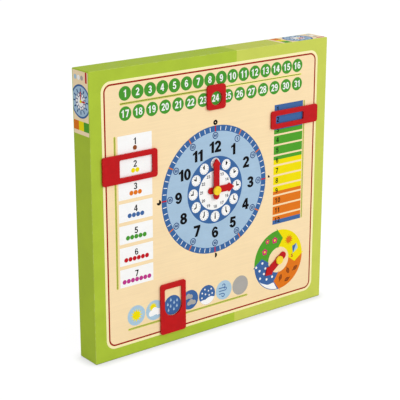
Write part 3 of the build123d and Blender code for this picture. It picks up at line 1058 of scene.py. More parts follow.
@dataclass(frozen=True)
class Repeat:
    """A Geometry Nodes tree that prints one shape many times.

    Attributes:
        stamp: The shape.
        layout: A straight row, or a ring whose shapes point outwards.
    """

    stamp: Stamp
    layout: Layout

    def tree(self) -> bpy.types.NodeTree:
        """Build the tree, or find it if it was built before.

        Returns:
            The node group, with its sizes as named inputs.
        """
        name = f"repeat_{self.stamp.value}_{self.layout.value}"
        if name in bpy.data.node_groups:
            return bpy.data.node_groups[name]
        tree = bpy.data.node_groups.new(name, "GeometryNodeTree")
        sizes = {"Count": "Int", "Leave Out": "Int", "Width": "Float", "Height": "Float", "Film": "Float",
                 "Step": "Vector", "Radius": "Float", "Place": "Vector", "Ink": "Material"}
        for label, kind in sizes.items():
            tree.interface.new_socket(label, in_out="INPUT", socket_type=f"NodeSocket{kind}")
        tree.interface.new_socket("Geometry", in_out="OUTPUT", socket_type="NodeSocketGeometry")
        work = Nodes(tree)
        given = work.node("NodeGroupInput").outputs
        index = work.node("GeometryNodeInputIndex").outputs[0]
        line = work.node("GeometryNodeMeshLine", {"Count": given["Count"], "Offset": given["Step"]})
        stamps = {"Points": line.outputs[0]}
        if self.layout is Layout.RING:
            angle = work.math("MULTIPLY", index, work.math("DIVIDE", math.tau, given["Count"]))
            spot = work.vector(*(work.math("MULTIPLY", given["Radius"], work.math(way, angle))
                                 for way in ("SINE", "COSINE")))
            put = work.node("GeometryNodeSetPosition", {"Geometry": line.outputs[0], "Position": spot})
            turn = work.vector(0.0, 0.0, work.math("MULTIPLY", angle, -1.0))
            stamps = {"Points": put.outputs[0], "Rotation": turn}
        if self.stamp is Stamp.BAR:
            size = work.vector(given["Width"], given["Height"], given["Film"])
            shape = work.node("GeometryNodeMeshCube", {"Size": size})
        else:
            radius = work.math("MULTIPLY", given["Width"], 0.5)
            shape = work.node("GeometryNodeMeshCylinder",
                              {"Vertices": STAMP_STEPS, "Radius": radius, "Depth": given["Film"]})
        asked = work.math("GREATER_THAN", given["Leave Out"], 0.5)
        struck = work.math("LESS_THAN", work.math("MODULO", index, given["Leave Out"]), 0.5)
        stamps["Instance"] = shape.outputs[0]
        stamps["Selection"] = work.math("SUBTRACT", 1.0, work.math("MULTIPLY", struck, asked))
        result = work.node("GeometryNodeInstanceOnPoints", stamps)
        for kind, inputs in (("Transform", {"Translation": given["Place"]}), ("RealizeInstances", {}),
                             ("SetMaterial", {"Material": given["Ink"]})):
            result = work.node(f"GeometryNode{kind}", {"Geometry": result.outputs[0], **inputs})
        work.node("NodeGroupOutput", {0: result.outputs[0]})
        return tree

    def print(self, name: str, ink: Ink, layer: Layer, at: Point, count: int, width: float,
              height: float = 0.0, step: Point = (0.0, 0.0), radius: float = 0.0, leave_out: int = 0,
              press: Press = FRONT) -> None:
        """Print the repeat and make it a plain mesh.

        Args:
            name: The piece's name.
            ink: Its ink.
            layer: How high it stands.
            at: The first shape's place, or the ring's centre.
            count: How many shapes there are.
            width, height: One shape's sizes; a disc has its width alone.
            step: From one shape to the next in a row.
            radius: The ring's radius.
            leave_out: Each such shape is left out, counted from the first; nought leaves all.
            press: The press, with its face.
        """
        values = {"Count": count, "Leave Out": leave_out, "Width": width, "Height": height,
                  "Film": layer.thick, "Step": (*step, 0.0), "Radius": radius, "Ink": ink.material(),
                  "Place": (*at, layer.middle)}
        holder = bpy.data.objects.new(name, bpy.data.meshes.new(name))
        bpy.context.scene.collection.objects.link(holder)
        modifier = holder.modifiers.new("repeat", "NODES")
        modifier.node_group = self.tree()
        for item in modifier.node_group.interface.items_tree:
            if item.in_out == "INPUT":
                modifier[item.identifier] = values[item.name]
        holder.update_tag()
        graph = bpy.context.evaluated_depsgraph_get()
        mesh = bpy.data.meshes.new_from_object(holder.evaluated_get(graph))
        blank = holder.data
        holder.modifiers.clear()
        bpy.data.objects.remove(holder)
        bpy.data.meshes.remove(blank)
        settle(mesh, press.face.matrix(), STAMP_MERGE)
        hand_in(name, mesh, press.slot)


BAR_ROW = Repeat(Stamp.BAR, Layout.ROW)
DISC_ROW = Repeat(Stamp.DISC, Layout.ROW)
BAR_RING = Repeat(Stamp.BAR, Layout.RING)
DISC_RING = Repeat(Stamp.DISC, Layout.RING)


def dress(finish: Finish, *nodes: str) -> None:
    """Give CAD nodes a finish.

    Args:
        finish: The finish.
        nodes: The nodes' names.
    """
    for name in nodes:
        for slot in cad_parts[name].material_slots:
            slot.material = finish.material()
        log.info("%s: %s", name, finish.name)


# The board and its case

@dataclass
class CaseShell:
    """The green case, with a small printed panel on its left side and its top.

    Attributes:
        panel_length, panel_half, panel_corner: How far a panel runs from the case's corner, half its width
            and its corners' radius.
        corner_inset: The green edge between the case's corner and a panel.
        dial_place: The dial's distance from the corner.
        dial, face, ring, core, hub: The radii of the dial, its face, dark ring, white middle and hub.
        mark, mark_radius: A mark's width and length, and where the marks stand.
        spot: A white spot on the ring, across.
        needles, needle_width: Each needle's way along and across the panel and its length, and their width.
        bars, bar_inks: Where the colour bars start and end, and their inks.
        dots, dot_pitch, dot_radius, dot_inks: The dots' distance from the corner, spacing, radius and inks.
        strip, strip_end, strip_corner: How far the red strip's sides lie inside the panel's edge, where it
            ends, and its corners' radius.
    """

    panel_length: float = 77.0
    panel_half: float = 16.3
    panel_corner: float = 0.8
    corner_inset: float = 1.5
    dial_place: float = 36.5
    dial: float = 20.5
    face: float = 18.245
    ring: float = 10.8
    core: float = 6.4
    hub: float = 2.1
    mark: Point = (1.7, 4.2)
    mark_radius: float = 13.735
    spot: float = 3.5
    needles: tuple[Triple, ...] = ((0.0, 1.0, 7.4), (-1.0, 0.0, 9.6))
    needle_width: float = 2.0
    bars: Point = (60.5, 72.0)
    bar_inks: tuple[Ink, ...] = (MONTH_ORANGE, MONTH_YELLOW, MONTH_GREEN)
    dots: float = 8.0
    dot_pitch: float = 7.0
    dot_radius: float = 2.94
    dot_inks: tuple[Ink, ...] = (SKY_BLUE, WHITE, GREY)
    strip: Point = (5.5, 2.0)
    strip_end: float = 13.0
    strip_corner: float = 0.6

    def build(self) -> None:
        """Print the panels, one set upright and one lying along the top."""
        corner = CAD_BOX[1] / MM - Vector((1.0, 1.0, 1.0)) * self.corner_inset
        self.motif("side_panel", Press(Face.LEFT, "case_green"), lambda u, v: (v, corner.z - u))
        self.motif("top_panel", Press(Face.TOP, "case_green"), lambda u, v: (corner.x - u, -v))

    def motif(self, name: str, press: Press, lay: Lay) -> None:
        """Print one panel: dots, a cropped dial and colour bars.

        Args:
            name: The start of its pieces' names.
            press: The press, with its face.
            lay: From the distance from the corner and across, to a place on the face.
        """
        half = self.panel_half

        def block(u0: float, v0: float, u1: float, v1: float, corner: float = 0.0) -> Loop:
            """A rectangle between two places of the panel."""
            a, b = lay(u0, v0), lay(u1, v1)
            return panel(*map(min, a, b), *map(max, a, b), corner)

        press.film(f"{name}_ground", BEIGE, Layer.GROUND,
                   [block(0.0, -half, self.panel_length, half, self.panel_corner)])
        self.clock(name, press, lay)
        third = 2 * half / 3
        for k, ink in enumerate(self.bar_inks):
            left = -half + k * third
            press.film(f"{name}_bar_{k + 1}", ink, Layer.FIRST,
                       [block(self.bars[0], left, self.bars[1], left + third)])
        for k, ink in enumerate(self.dot_inks):
            spot = lay(self.dots, (k - len(self.dot_inks) / 2) * self.dot_pitch)
            press.film(f"{name}_dot_{k + 1}", ink, Layer.FIRST, [disc(*spot, self.dot_radius)])
        left, right = (half - inside for inside in self.strip)
        strip = block(0.0, left, self.strip_end, right, self.strip_corner)
        press.film(f"{name}_mark", RED, Layer.FIRST, [strip])

    def clock(self, name: str, press: Press, lay: Lay) -> None:
        """Print a panel's dial, cut flat at the panel's sides.

        Args:
            name: The start of its pieces' names.
            press: The press, with its face.
            lay: From the distance from the corner and across, to a place on the face.
        """
        hub = lay(self.dial_place, 0.0)
        for label, ink, layer, radius in (("dial", DIAL_BLUE, Layer.FIRST, self.dial),
                                          ("dial_face", LIGHT_BLUE, Layer.SECOND, self.face)):
            circle = disc(self.dial_place, 0.0, radius)
            press.film(f"{name}_{label}", ink, layer,
                       [[lay(u, max(-self.panel_half, min(self.panel_half, v))) for u, v in circle]])
        BAR_RING.print(f"{name}_marks", FIGURE_BLUE, Layer.THIRD, hub, len(HOURS), *self.mark,
                       radius=self.mark_radius, press=press)
        rim, core = disc(*hub, self.ring), disc(*hub, self.core)
        press.film(f"{name}_ring", FIGURE_BLUE, Layer.THIRD, [rim, core])
        press.film(f"{name}_core", WHITE, Layer.THIRD, [core])
        DISC_RING.print(f"{name}_spots", WHITE, Layer.FOURTH, hub, len(HOURS), self.spot,
                        radius=(self.ring + self.core) / 2, press=press)
        needles = []
        for along, across, length in self.needles:
            reach = self.hub + length / 2
            middle = lay(self.dial_place + along * reach, across * reach)
            turn = math.degrees(math.atan2(middle[0] - hub[0], middle[1] - hub[1]))
            needles.append(bar(middle, self.needle_width, length, turn))
        press.film(f"{name}_needles", RED, Layer.FIFTH, needles)
        press.film(f"{name}_hub", MONTH_YELLOW, Layer.FIFTH, [disc(*hub, self.hub)])

    def dress(self) -> None:
        """Give the rim and the sides their green print."""
        dress(CasePrint("case_print"), "bezel_frame", "left_wall", "right_wall", "top_wall", "bottom_wall")


@dataclass
class FaceBoard:
    """The face board, its edge band, its border line and the painted lines along its slots.

    Attributes:
        band_in, band_out, band_corner: The edge band's reach in and out of the board's edge, and its corners.
        line_inset, line_width, line_corner: The border line's sizes.
        slot_width, slot_gap: The slots' width, and how far the paint keeps off their edge.
        line_reach: How far the paint goes beyond a slot.
        date_slot, weekday_slot, month_slot, weather_slot: The middles of the slots' round ends, the lower or
            left one first.
    """

    band_in: float = 1.3
    band_out: float = 0.3
    band_corner: float = 13.0
    line_inset: float = 3.2
    line_width: float = 2.1
    line_corner: float = 10.3
    slot_width: float = 1.2
    slot_gap: float = 0.05
    line_reach: float = 0.9
    date_slot: tuple[Point, Point] = ((-145.4, 327.55), (143.4, 327.55))
    weekday_slot: tuple[Point, Point] = ((-155.2, 94.1), (-155.2, 287.5))
    month_slot: tuple[Point, Point] = ((151.0, 126.7), (151.0, 290.0))
    weather_slot: tuple[Point, Point] = ((-139.1, 34.7), (54.1, 34.7))

    def build(self) -> None:
        """Print the band, the border and the slot lines."""
        self.border("edge_band", CREAM, -self.band_out, self.band_in + self.band_out,
                    self.band_corner + self.band_out)
        self.border("border_line", LINE_RED, self.line_inset, self.line_width, self.line_corner)
        self.split_line("date_line", (OLIVE, PALE_OLIVE), self.date_slot)
        self.slot_line("weekday_line", OLIVE, self.weekday_slot)
        self.slot_line("month_line", MONTH_OLIVE, self.month_slot)
        self.slot_line("weather_line", OLIVE, self.weather_slot)

    @staticmethod
    def border(name: str, ink: Ink, inset: float, width: float, corner: float) -> None:
        """Print a line round the board.

        Args:
            name: The piece's name.
            ink: Its ink.
            inset: How far its outside lies inside the board's edge.
            width: Its width.
            corner: The radius of its outer corners.
        """
        low, high = (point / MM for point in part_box("face_board"))
        loops = []
        for inside, radius in ((inset, corner), (inset + width, corner - width)):
            loops.append(panel(low.x + inside, low.z + inside, high.x - inside, high.z - inside, radius))
        FRONT.film(name, ink, Layer.GROUND, loops)

    def caps(self, slot: tuple[Point, Point]) -> list[tuple[Loop, Loop]]:
        """Outline the paint round both ends of a slot.

        Args:
            slot: The middles of its ends.

        Returns:
            For each end, half a circle at the paint's outside and one at its inside.
        """
        edge = self.slot_width / 2
        upright = slot[0][0] == slot[1][0]
        return [tuple(sweep(*at, reach, reach, turn, turn + 180)
                      for reach in (edge + self.line_reach, edge + self.slot_gap))
                for at, turn in zip(slot, (180, 0) if upright else (90, 270))]

    def slot_line(self, name: str, ink: Ink, slot: tuple[Point, Point]) -> None:
        """Paint the edges of one slot."""
        near, far = self.caps(slot)
        FRONT.film(name, ink, Layer.GROUND, [start + end for start, end in zip(near, far)])

    def split_line(self, name: str, inks: tuple[Ink, Ink], slot: tuple[Point, Point]) -> None:
        """Paint the edges of one level slot in two inks, one for each half.

        Args:
            name: The start of its pieces' names.
            inks: The inks of its left and its right half.
            slot: The middles of its ends.
        """
        middle = (slot[0][0] + slot[1][0]) / 2
        for label, ink, (rim, core) in zip(("near", "far"), inks, self.caps(slot)):
            cut = [(middle, y) for _, y in (rim[-1], core[-1], core[0], rim[0])]
            FRONT.film(f"{name}_{label}", ink, Layer.GROUND, [[*rim, *cut[:2], *core[::-1], *cut[2:]]])

    def dress(self) -> None:
        """Give the board its print."""
        dress(BoardPrint("board_print"), "face_board")


@dataclass
class DateRows:
    """Two rows of dates.

    Attributes:
        middle: The rows' middle across.
        width: From the first disc's centre to the last one's.
        rows: Each row's first and last date and its height.
        disc_size: A disc, across.
        figures: The dates' figures.
    """

    middle: float = -1.0
    width: float = 276.0
    rows: tuple[tuple[int, int, float], ...] = ((1, 16, 339.9), (17, 31, 315.2))
    disc_size: float = 17.8
    figures: Numerals = Numerals(9.2, 0.69, 0.92)

    def build(self) -> None:
        """Print both rows."""
        for first, last, height in self.rows:
            count = last - first + 1
            pitch, start = self.width / (count - 1), self.middle - self.width / 2
            DISC_ROW.print(f"date_discs_{first}", DATE_GREEN, Layer.GROUND, (start, height), count,
                           self.disc_size, step=(pitch, 0.0))
            loops = []
            for k in range(count):
                loops += self.figures.number(first + k, (start + k * pitch, height))
            FRONT.film(f"date_figures_{first}", WHITE, Layer.FIRST, loops)


@dataclass
class WeekdayColumn:
    """Seven white cards, each with a number and as many dots.

    Attributes:
        left, right: The cards' sides.
        first: The first card's height.
        pitch: From one card to the next.
        card_height: A card's height.
        dot_size, dot_pitch, dot_drop: The dots' size, spacing and distance below the middle.
        figures, figure_rise: The cards' figures, and their distance above the middle.
        inks: The inks of the cards' dots.
    """

    left: float = -151.0
    right: float = -100.6
    first: float = 276.3
    pitch: float = 28.5
    card_height: float = 23.8
    dot_size: float = 6.0
    dot_pitch: float = 6.3
    dot_drop: float = 5.0
    figures: Numerals = Numerals(8.4)
    figure_rise: float = 3.2
    inks: tuple[Ink, ...] = (BROWN, MONTH_YELLOW, MONTH_ORANGE, MONTH_BLUE, DATE_GREEN, RED, PURPLE)

    def build(self) -> None:
        """Print the cards, the figures and the dots."""
        middle = (self.left + self.right) / 2
        BAR_ROW.print("weekday_cards", WHITE, Layer.GROUND, (middle, self.first), len(self.inks),
                      self.right - self.left, self.card_height, step=(0.0, -self.pitch))
        loops = []
        for k, ink in enumerate(self.inks):
            height = self.first - k * self.pitch
            loops += self.figures.number(k + 1, (middle, height + self.figure_rise))
            DISC_ROW.print(f"weekday_dots_{k + 1}", ink, Layer.FIRST,
                           (middle - k * self.dot_pitch / 2, height - self.dot_drop), k + 1,
                           self.dot_size, step=(self.dot_pitch, 0.0))
        FRONT.film("weekday_figures", BLACK, Layer.FIRST, loops)


@dataclass
class MonthColumn:
    """Twelve month bars in the colours of the seasons, with split bars where they change.

    Attributes:
        left, right: The bars' sides.
        first: The first bar's height.
        pitch: From one bar to the next.
        bar_height: A bar's height.
        inks, whole: The colours, and how many whole bars each has before a split one.
        upper_share: How much of each split bar keeps the colour above it.
        figures, figure_inset: The bars' figures, and their distance from the left.
    """

    left: float = 98.4
    right: float = 148.75
    first: float = 285.6
    pitch: float = 14.05
    bar_height: float = 11.6
    inks: tuple[Ink, ...] = (MONTH_BLUE, MONTH_GREEN, MONTH_YELLOW, MONTH_ORANGE)
    whole: int = 2
    upper_share: tuple[float, ...] = (0.5, 0.44, 0.6, 0.48)
    figures: Numerals = Numerals(7.0)
    figure_inset: float = 4.0

    def build(self) -> None:
        """Print the whole bars, the split bars and the figures."""
        middle, width, half = (self.left + self.right) / 2, self.right - self.left, self.bar_height / 2
        following = self.inks[1:] + self.inks[:1]
        season = self.whole + 1
        for k, (ink, share) in enumerate(zip(self.inks, self.upper_share)):
            top = self.first - season * k * self.pitch
            BAR_ROW.print(f"month_bars_{ink.label}", ink, Layer.GROUND, (middle, top), self.whole, width,
                          self.bar_height, step=(0.0, -self.pitch))
            height = top - self.whole * self.pitch
            split = height + half - self.bar_height * share
            FRONT.film(f"month_split_{ink.label}_over", ink, Layer.GROUND,
                       [panel(self.left, split, self.right, height + half)])
            FRONT.film(f"month_split_{ink.label}_under", following[k], Layer.GROUND,
                       [panel(self.left, height - half, self.right, split)])
        loops = []
        for k in range(season * len(self.inks)):
            spot = (self.left + self.figure_inset, self.first - k * self.pitch)
            loops += self.figures.number(k + 1, spot, Align.LEFT)
        FRONT.film("month_figures", BLACK, Layer.FIRST, loops)


@dataclass
class ClockDial:
    """The printed dial: minute ring, hours, small clocks and the hours past noon.

    Attributes:
        centre: The spindle's place.
        rim, minute_ring, clock_ring, core, bore: The radii of its rings, from outside in.
        minute_mark, five_mark, quarter_mark: The widths and lengths of the marks in the minute ring.
        minute_shift: How far the minute marks stand inside the ring's middle.
        circle_radius, circle, circle_field: Where the minute circles stand, and their sizes across.
        hour_reach, wide_hour_reach: The half axes of the ovals that hours of one and of two figures stand on.
        late_radius: Where the hours past noon stand.
        hour_figures, minute_figures, late_figures: The figures of the hours, the minutes and those hours.
        clock_radius, clock: Where the small clocks stand, and their size across.
        clock_mark, hour_hand, minute_hand: The width and length of a small clock's marks and hands, and how
            far their middles stand out.
        quarter_radius, quarter_size, quarter_hole: Where the quarter signs stand, their radius, and that of
            the hole in the first.
    """

    centre: Point = (-1.0, 193.8)
    rim: float = 85.6
    minute_ring: float = 77.8
    clock_ring: float = 45.0
    core: float = 26.5
    bore: float = 3.6
    minute_mark: Point = (0.95, 5.6)
    five_mark: Point = (1.6, 7.4)
    quarter_mark: Point = (1.7, 7.8)
    minute_shift: float = 0.3
    circle_radius: float = 72.6
    circle: float = 9.2
    circle_field: float = 6.9
    hour_reach: Point = (59.2, 57.6)
    wide_hour_reach: Point = (56.6, 57.6)
    late_radius: float = 22.4
    hour_figures: Numerals = Numerals(15.2, 0.53, 1.12, 0.03)
    minute_figures: Numerals = Numerals(3.9, 0.7, weight=0.03)
    late_figures: Numerals = Numerals(4.3, 0.7, weight=0.02)
    clock_radius: float = 35.8
    clock: float = 14.4
    clock_mark: Triple = (0.5, 1.2, 5.9)
    hour_hand: Triple = (1.9, 4.4, 1.5)
    minute_hand: Triple = (1.4, 5.6, 2.1)
    quarter_radius: float = 89.7
    quarter_size: float = 3.5
    quarter_hole: float = 0.84

    def build(self) -> None:
        """Print the dial from its rim inwards."""
        radii = (self.rim, self.minute_ring, self.clock_ring, self.core, self.bore)
        inks = {"minute_ring": DIAL_BLUE, "hour_field": LIGHT_BLUE, "clock_ring": DIAL_BLUE, "core": WHITE}
        for (label, ink), *edges in zip(inks.items(), radii, radii[1:]):
            FRONT.film(f"dial_{label}", ink, Layer.GROUND, [disc(*self.centre, radius) for radius in edges])
        self.marks()
        self.figures()
        self.small_clocks()
        self.quarters()

    def marks(self) -> None:
        """Print the minute marks, where each longer kind takes the place of a shorter, and the circles."""
        middle = (self.rim + self.minute_ring) / 2
        for name, ink, count, mark, radius, leave_out in (
                ("dial_minutes", WHITE, 60, self.minute_mark, middle - self.minute_shift, 5),
                ("dial_fives", MONTH_ORANGE, 12, self.five_mark, middle, 3),
                ("dial_quarters", RED, 4, self.quarter_mark, middle, 0)):
            BAR_RING.print(name, ink, Layer.FIRST, self.centre, count, *mark, radius=radius,
                           leave_out=leave_out)
        for name, ink, layer, size in (("dial_circles", FIGURE_BLUE, Layer.FIRST, self.circle),
                                       ("dial_circle_fields", LIGHT_BLUE, Layer.SECOND, self.circle_field)):
            DISC_RING.print(name, ink, layer, self.centre, len(HOURS), size, radius=self.circle_radius)

    def figures(self) -> None:
        """Print the hours, the minutes in their circles and the hours past noon."""
        hours, minutes, late = [], [], []
        for hour in HOURS:
            angle = HOUR_TURN * hour
            reach = self.hour_reach if hour < 10 else self.wide_hour_reach
            hours += self.hour_figures.number(hour, on_oval(self.centre, reach, angle))
            minutes += self.minute_figures.number(5 * hour, on_dial(self.centre, self.circle_radius, angle))
            late += self.late_figures.number(12 + hour, on_dial(self.centre, self.late_radius, angle))
        FRONT.film("dial_hours", BLACK, Layer.FIRST, hours)
        FRONT.film("dial_minute_figures", FIGURE_BLUE, Layer.THIRD, minutes)
        FRONT.film("dial_late_hours", DARK_GREY, Layer.FIRST, late)

    def small_clocks(self) -> None:
        """Print twelve small clocks, each set to the hour beside it."""
        DISC_RING.print("dial_small_clocks", WHITE, Layer.FIRST, self.centre, len(HOURS), self.clock,
                        radius=self.clock_radius)
        marks, hours, minutes = [], [], []
        turns = [HOUR_TURN * hour for hour in HOURS]
        for angle in turns:
            spot = on_dial(self.centre, self.clock_radius, angle)
            marks += [self.ray(spot, self.clock_mark, turn) for turn in turns]
            hours.append(self.ray(spot, self.hour_hand, angle))
            minutes.append(self.ray(spot, self.minute_hand, 0.0))
        FRONT.film("dial_small_marks", SOFT_GREY, Layer.SECOND, marks)
        FRONT.film("dial_small_hour_hands", BLACK, Layer.SECOND, hours)
        FRONT.film("dial_small_minute_hands", BLACK, Layer.THIRD, minutes)

    @staticmethod
    def ray(spot: Point, size: Triple, turn: float) -> Loop:
        """A bar of that width, length and distance of its middle, turned about the spot."""
        width, length, reach = size
        return bar(on_dial(spot, reach, turn), width, length, turn)

    def quarters(self) -> None:
        """Print the quarter signs outside the dial: a ring, and pies of one, two and three quarters."""
        top, *spots = (on_dial(self.centre, self.quarter_radius, 90.0 * quarter) for quarter in range(4))
        loops = [disc(*top, self.quarter_size), disc(*top, self.quarter_hole)]
        for k, spot in enumerate(spots):
            loops.append(pie(spot, self.quarter_size, 90.0 * (k + 1)))
        FRONT.film("dial_quarter_signs", BLACK, Layer.GROUND, loops)


@dataclass
class SeasonRing:
    """Four arrows that chase each other clockwise, one for each season, with small signs on them.

    Attributes:
        centre: The pointer's pivot.
        inner, outer: The arrows' radii.
        barb_in, barb_out, tip: The radii of an arrow head's barbs and its tip.
        head: The angle that a head takes up.
        arc_steps: In how many steps an arrow's sides are drawn.
        starts: Where each arrow starts.
        inks: The arrows' inks.
        blossoms, petals: The angle, radius and size of each blossom, and how many petals it has.
        petal_reach, petal_size, eye_size: How far the petals stand out, their radius and that of the eye, as
            shares of a blossom's size.
        sun, sun_size: The sun's angle and radius, and the radii of its rays.
        kite_place, kite_size, kite_turn: The kite's angle and radius, its size and its lean.
        leaves, leaf_size: The angle, radius and lean of each leaf, and their size.
        flakes, flake_radius: The angle and radius of each flake, and a flake's own radius.
        drift_starts, drift_end: Where the foot and the crest of the snow drift start, and where both end.
    """

    centre: Point = (110.5, 72.5)
    inner: float = 18.3
    outer: float = 43.2
    barb_in: float = 16.6
    barb_out: float = 46.0
    tip: float = 31.0
    head: float = 19.0
    arc_steps: int = 30
    starts: tuple[float, ...] = (284.0, 374.0, 466.0, 555.0)
    inks: tuple[Ink, ...] = (MONTH_GREEN, MONTH_YELLOW, MONTH_ORANGE, MONTH_BLUE)
    blossoms: tuple[Triple, ...] = ((303, 30.0, 4.6), (326, 36.5, 3.4), (346, 30.5, 4.6))
    petals: int = 5
    petal_reach: float = 0.62
    petal_size: float = 0.42
    eye_size: float = 0.34
    sun: Point = (36, 31.5)
    sun_size: Point = (7.4, 4.0)
    kite_place: Point = (69, 32.0)
    kite_size: float = 7.6
    kite_turn: float = 24.0
    leaves: tuple[Triple, ...] = ((121, 36.5, 60.0), (138, 26.5, 160.0), (153, 36.5, 250.0),
                                  (171, 27.5, 20.0))
    leaf_size: float = 4.9
    flakes: tuple[Point, ...] = ((206, 25.0), (221, 32.0), (229, 24.0), (238, 38.5), (240, 30.0), (252, 24.5),
                                 (255, 35.0), (266, 40.0), (272, 29.0))
    flake_radius: float = 1.7
    drift_starts: Point = (182.6, 194.0)
    drift_end: float = 234.0

    def spot(self, angle: float, radius: float) -> Point:
        """A place on the ring."""
        return on_dial(self.centre, radius, angle)

    def build(self) -> None:
        """Print the arrows, then their signs."""
        ends = [*self.starts[1:], self.starts[0] + 360.0]
        for start, end, ink in zip(self.starts, ends, self.inks):
            FRONT.film(f"season_arrow_{ink.label}", ink, Layer.GROUND, [self.arrow(start, end)])
        self.print_blossoms()
        sun = star(self.spot(*self.sun), *self.sun_size, SUN_ARMS)
        FRONT.film("season_sun", MONTH_ORANGE, Layer.SECOND, [sun])
        self.print_kite()
        leaves = []
        for angle, radius, turn in self.leaves:
            leaves += self.leaf(self.spot(angle, radius), self.leaf_size, turn)
        FRONT.film("season_leaves", LEAF_BROWN, Layer.SECOND, leaves)
        flakes = [disc(*self.spot(*place), self.flake_radius) for place in self.flakes]
        FRONT.film("season_snow", WHITE, Layer.SECOND, [self.drift(), *flakes])

    def arrow(self, start: float, end: float) -> Loop:
        """Outline one arrow, notched where the head of the one behind it lies.

        Args:
            start, end: Where its notch and its tip are.

        Returns:
            The closed outline.
        """
        shoulder = end - self.head
        sides = []
        for barb, radius in ((self.barb_out, self.outer), (self.barb_in, self.inner)):
            angles = evenly(self.notch(start, barb, radius), shoulder, self.arc_steps)
            sides.append([self.spot(angle, radius) for angle in angles])
        places = ((shoulder, self.barb_out), (end, self.tip), (shoulder, self.barb_in))
        head = [self.spot(*place) for place in places]
        return [self.spot(start, self.tip), *sides[0], *head, *sides[1][::-1]]

    def notch(self, start: float, barb: float, radius: float) -> float:
        """Find where the head that ends at start crosses a radius, along its edge to the barb.

        Args:
            start: The angle of that head's tip.
            barb: The radius of its barb.
            radius: The radius to be crossed.

        Returns:
            The crossing's angle.
        """
        tip, far = (Vector(on_dial((0, 0), r, a)) for r, a in ((self.tip, start), (barb, start - self.head)))
        edge = far - tip
        lean = tip.dot(edge)
        root = math.sqrt(lean * lean - edge.length_squared * (tip.length_squared - radius * radius))
        point = tip + edge * ((math.copysign(root, barb - self.tip) - lean) / edge.length_squared)
        angle = math.degrees(math.atan2(point.x, point.y))
        return start + math.remainder(angle - start, 360.0)

    def print_blossoms(self) -> None:
        """Print blossoms of round petals, on a base too deep to cut them."""
        petals, eyes = [], []
        for angle, radius, size in self.blossoms:
            spot = self.spot(angle, radius)
            turns = [360.0 / self.petals * k for k in range(self.petals)]
            ring = [on_dial((0, 0), size * self.petal_reach, turn) for turn in turns]
            petals.append(lobes(spot, [(*place, size * self.petal_size) for place in ring], 2 * size))
            eyes.append(disc(*spot, size * self.eye_size))
        FRONT.film("season_petals", PINK, Layer.SECOND, petals)
        FRONT.film("season_eyes", MONTH_YELLOW, Layer.THIRD, eyes)

    def print_kite(self) -> None:
        """Print a kite of two sails with bows on its tail."""
        size, turn = self.kite_size, self.kite_turn
        place = turned(self.spot(*self.kite_place), size, turn)
        top, foot, left, right = place(0.0, 0.85), place(0.0, -1.1), place(-0.75, 0.1), place(0.75, 0.1)
        FRONT.film("season_kite_left", MONTH_BLUE, Layer.SECOND, [[top, left, foot]])
        FRONT.film("season_kite_right", SKY_BLUE, Layer.SECOND, [[top, foot, right]])
        sway, wave, start, length, steps = 0.1, 4.0, -1.12, 0.7, 8
        tail = []
        for share in evenly(0.0, 1.0, steps):
            tail.append(place(-sway * math.sin(wave * share), start - length * share))
        string, bow, tilts = 0.45, (size * 0.46, size * 0.15), {4: 20.0, 7: -20.0}
        FRONT.film("season_kite_string", SOFT_GREY, Layer.SECOND, [stroke(tail, string)])
        bows = [bar(tail[k], *bow, turn + tilt) for k, tilt in tilts.items()]
        FRONT.film("season_kite_tail", RED, Layer.THIRD, bows)

    @staticmethod
    def leaf(centre: Point, size: float, turn: float) -> list[Loop]:
        """Outline a toothed leaf on its stalk, with slits for its rib and veins.

        Args:
            centre: Its middle.
            size: Half its length.
            turn: Its angle.

        Returns:
            The blade and its slits.
        """
        place = turned(centre, size, turn)
        stalk, stalk_end, foot, length, tip, steps = 0.06, -1.3, -0.8, 1.8, 1.02, 24
        breadth, skew, fullness, tooth = 0.56, 0.8, 0.75, 0.06
        right, left = [place(stalk, stalk_end)], [place(-stalk, stalk_end)]
        for k in range(1, steps):
            share = k / steps
            width = breadth * math.sin(math.pi * share ** skew) ** fullness * (1.0 + tooth * (-1) ** k)
            for line, side in ((right, 1), (left, -1)):
                line.append(place(side * max(width, stalk), length * share + foot))
        rib, vein = (size * 0.07, size * 1.1), (size * 0.06, size * 0.26)
        vein_reach, vein_turn = 0.19, 42.0
        slits = [bar(centre, *rib, turn)]
        for along in (-0.3, 0.05, 0.4):
            for side in (1, -1):
                slits.append(bar(place(side * vein_reach, along), *vein, turn + side * vein_turn))
        return [[*right, place(0.0, tip), *left[::-1]], *slits]

    def drift(self) -> Loop:
        """Outline a snow drift that thins out along the arrow's outer edge, beside the next arrow's head.

        Returns:
            The closed outline.
        """
        inset, depth, fall, ripple, waves, thin, steps = 1.0, 9.2, 1.2, 0.8, 11.0, 0.05, 22
        edge, (foot_start, crest_start), end = self.outer - inset, self.drift_starts, self.drift_end
        foot, crest = [], []
        for share in evenly(0.0, 1.0, steps):
            rest = 1 - share
            height = thin + depth * rest ** fall + ripple * math.sin(waves * share) * rest
            foot.append(self.spot(foot_start + (end - foot_start) * share, edge))
            crest.append(self.spot(crest_start + (end - crest_start) * share, edge - height))
        return foot + crest[::-1]


class Weather(Enum):
    """The weather discs, numbered from the left."""

    SUN = 0
    FAIR = 1
    RAIN = 2
    CLOUDS = 3
    SNOW = 4
    WIND = 5
    DULL = 6


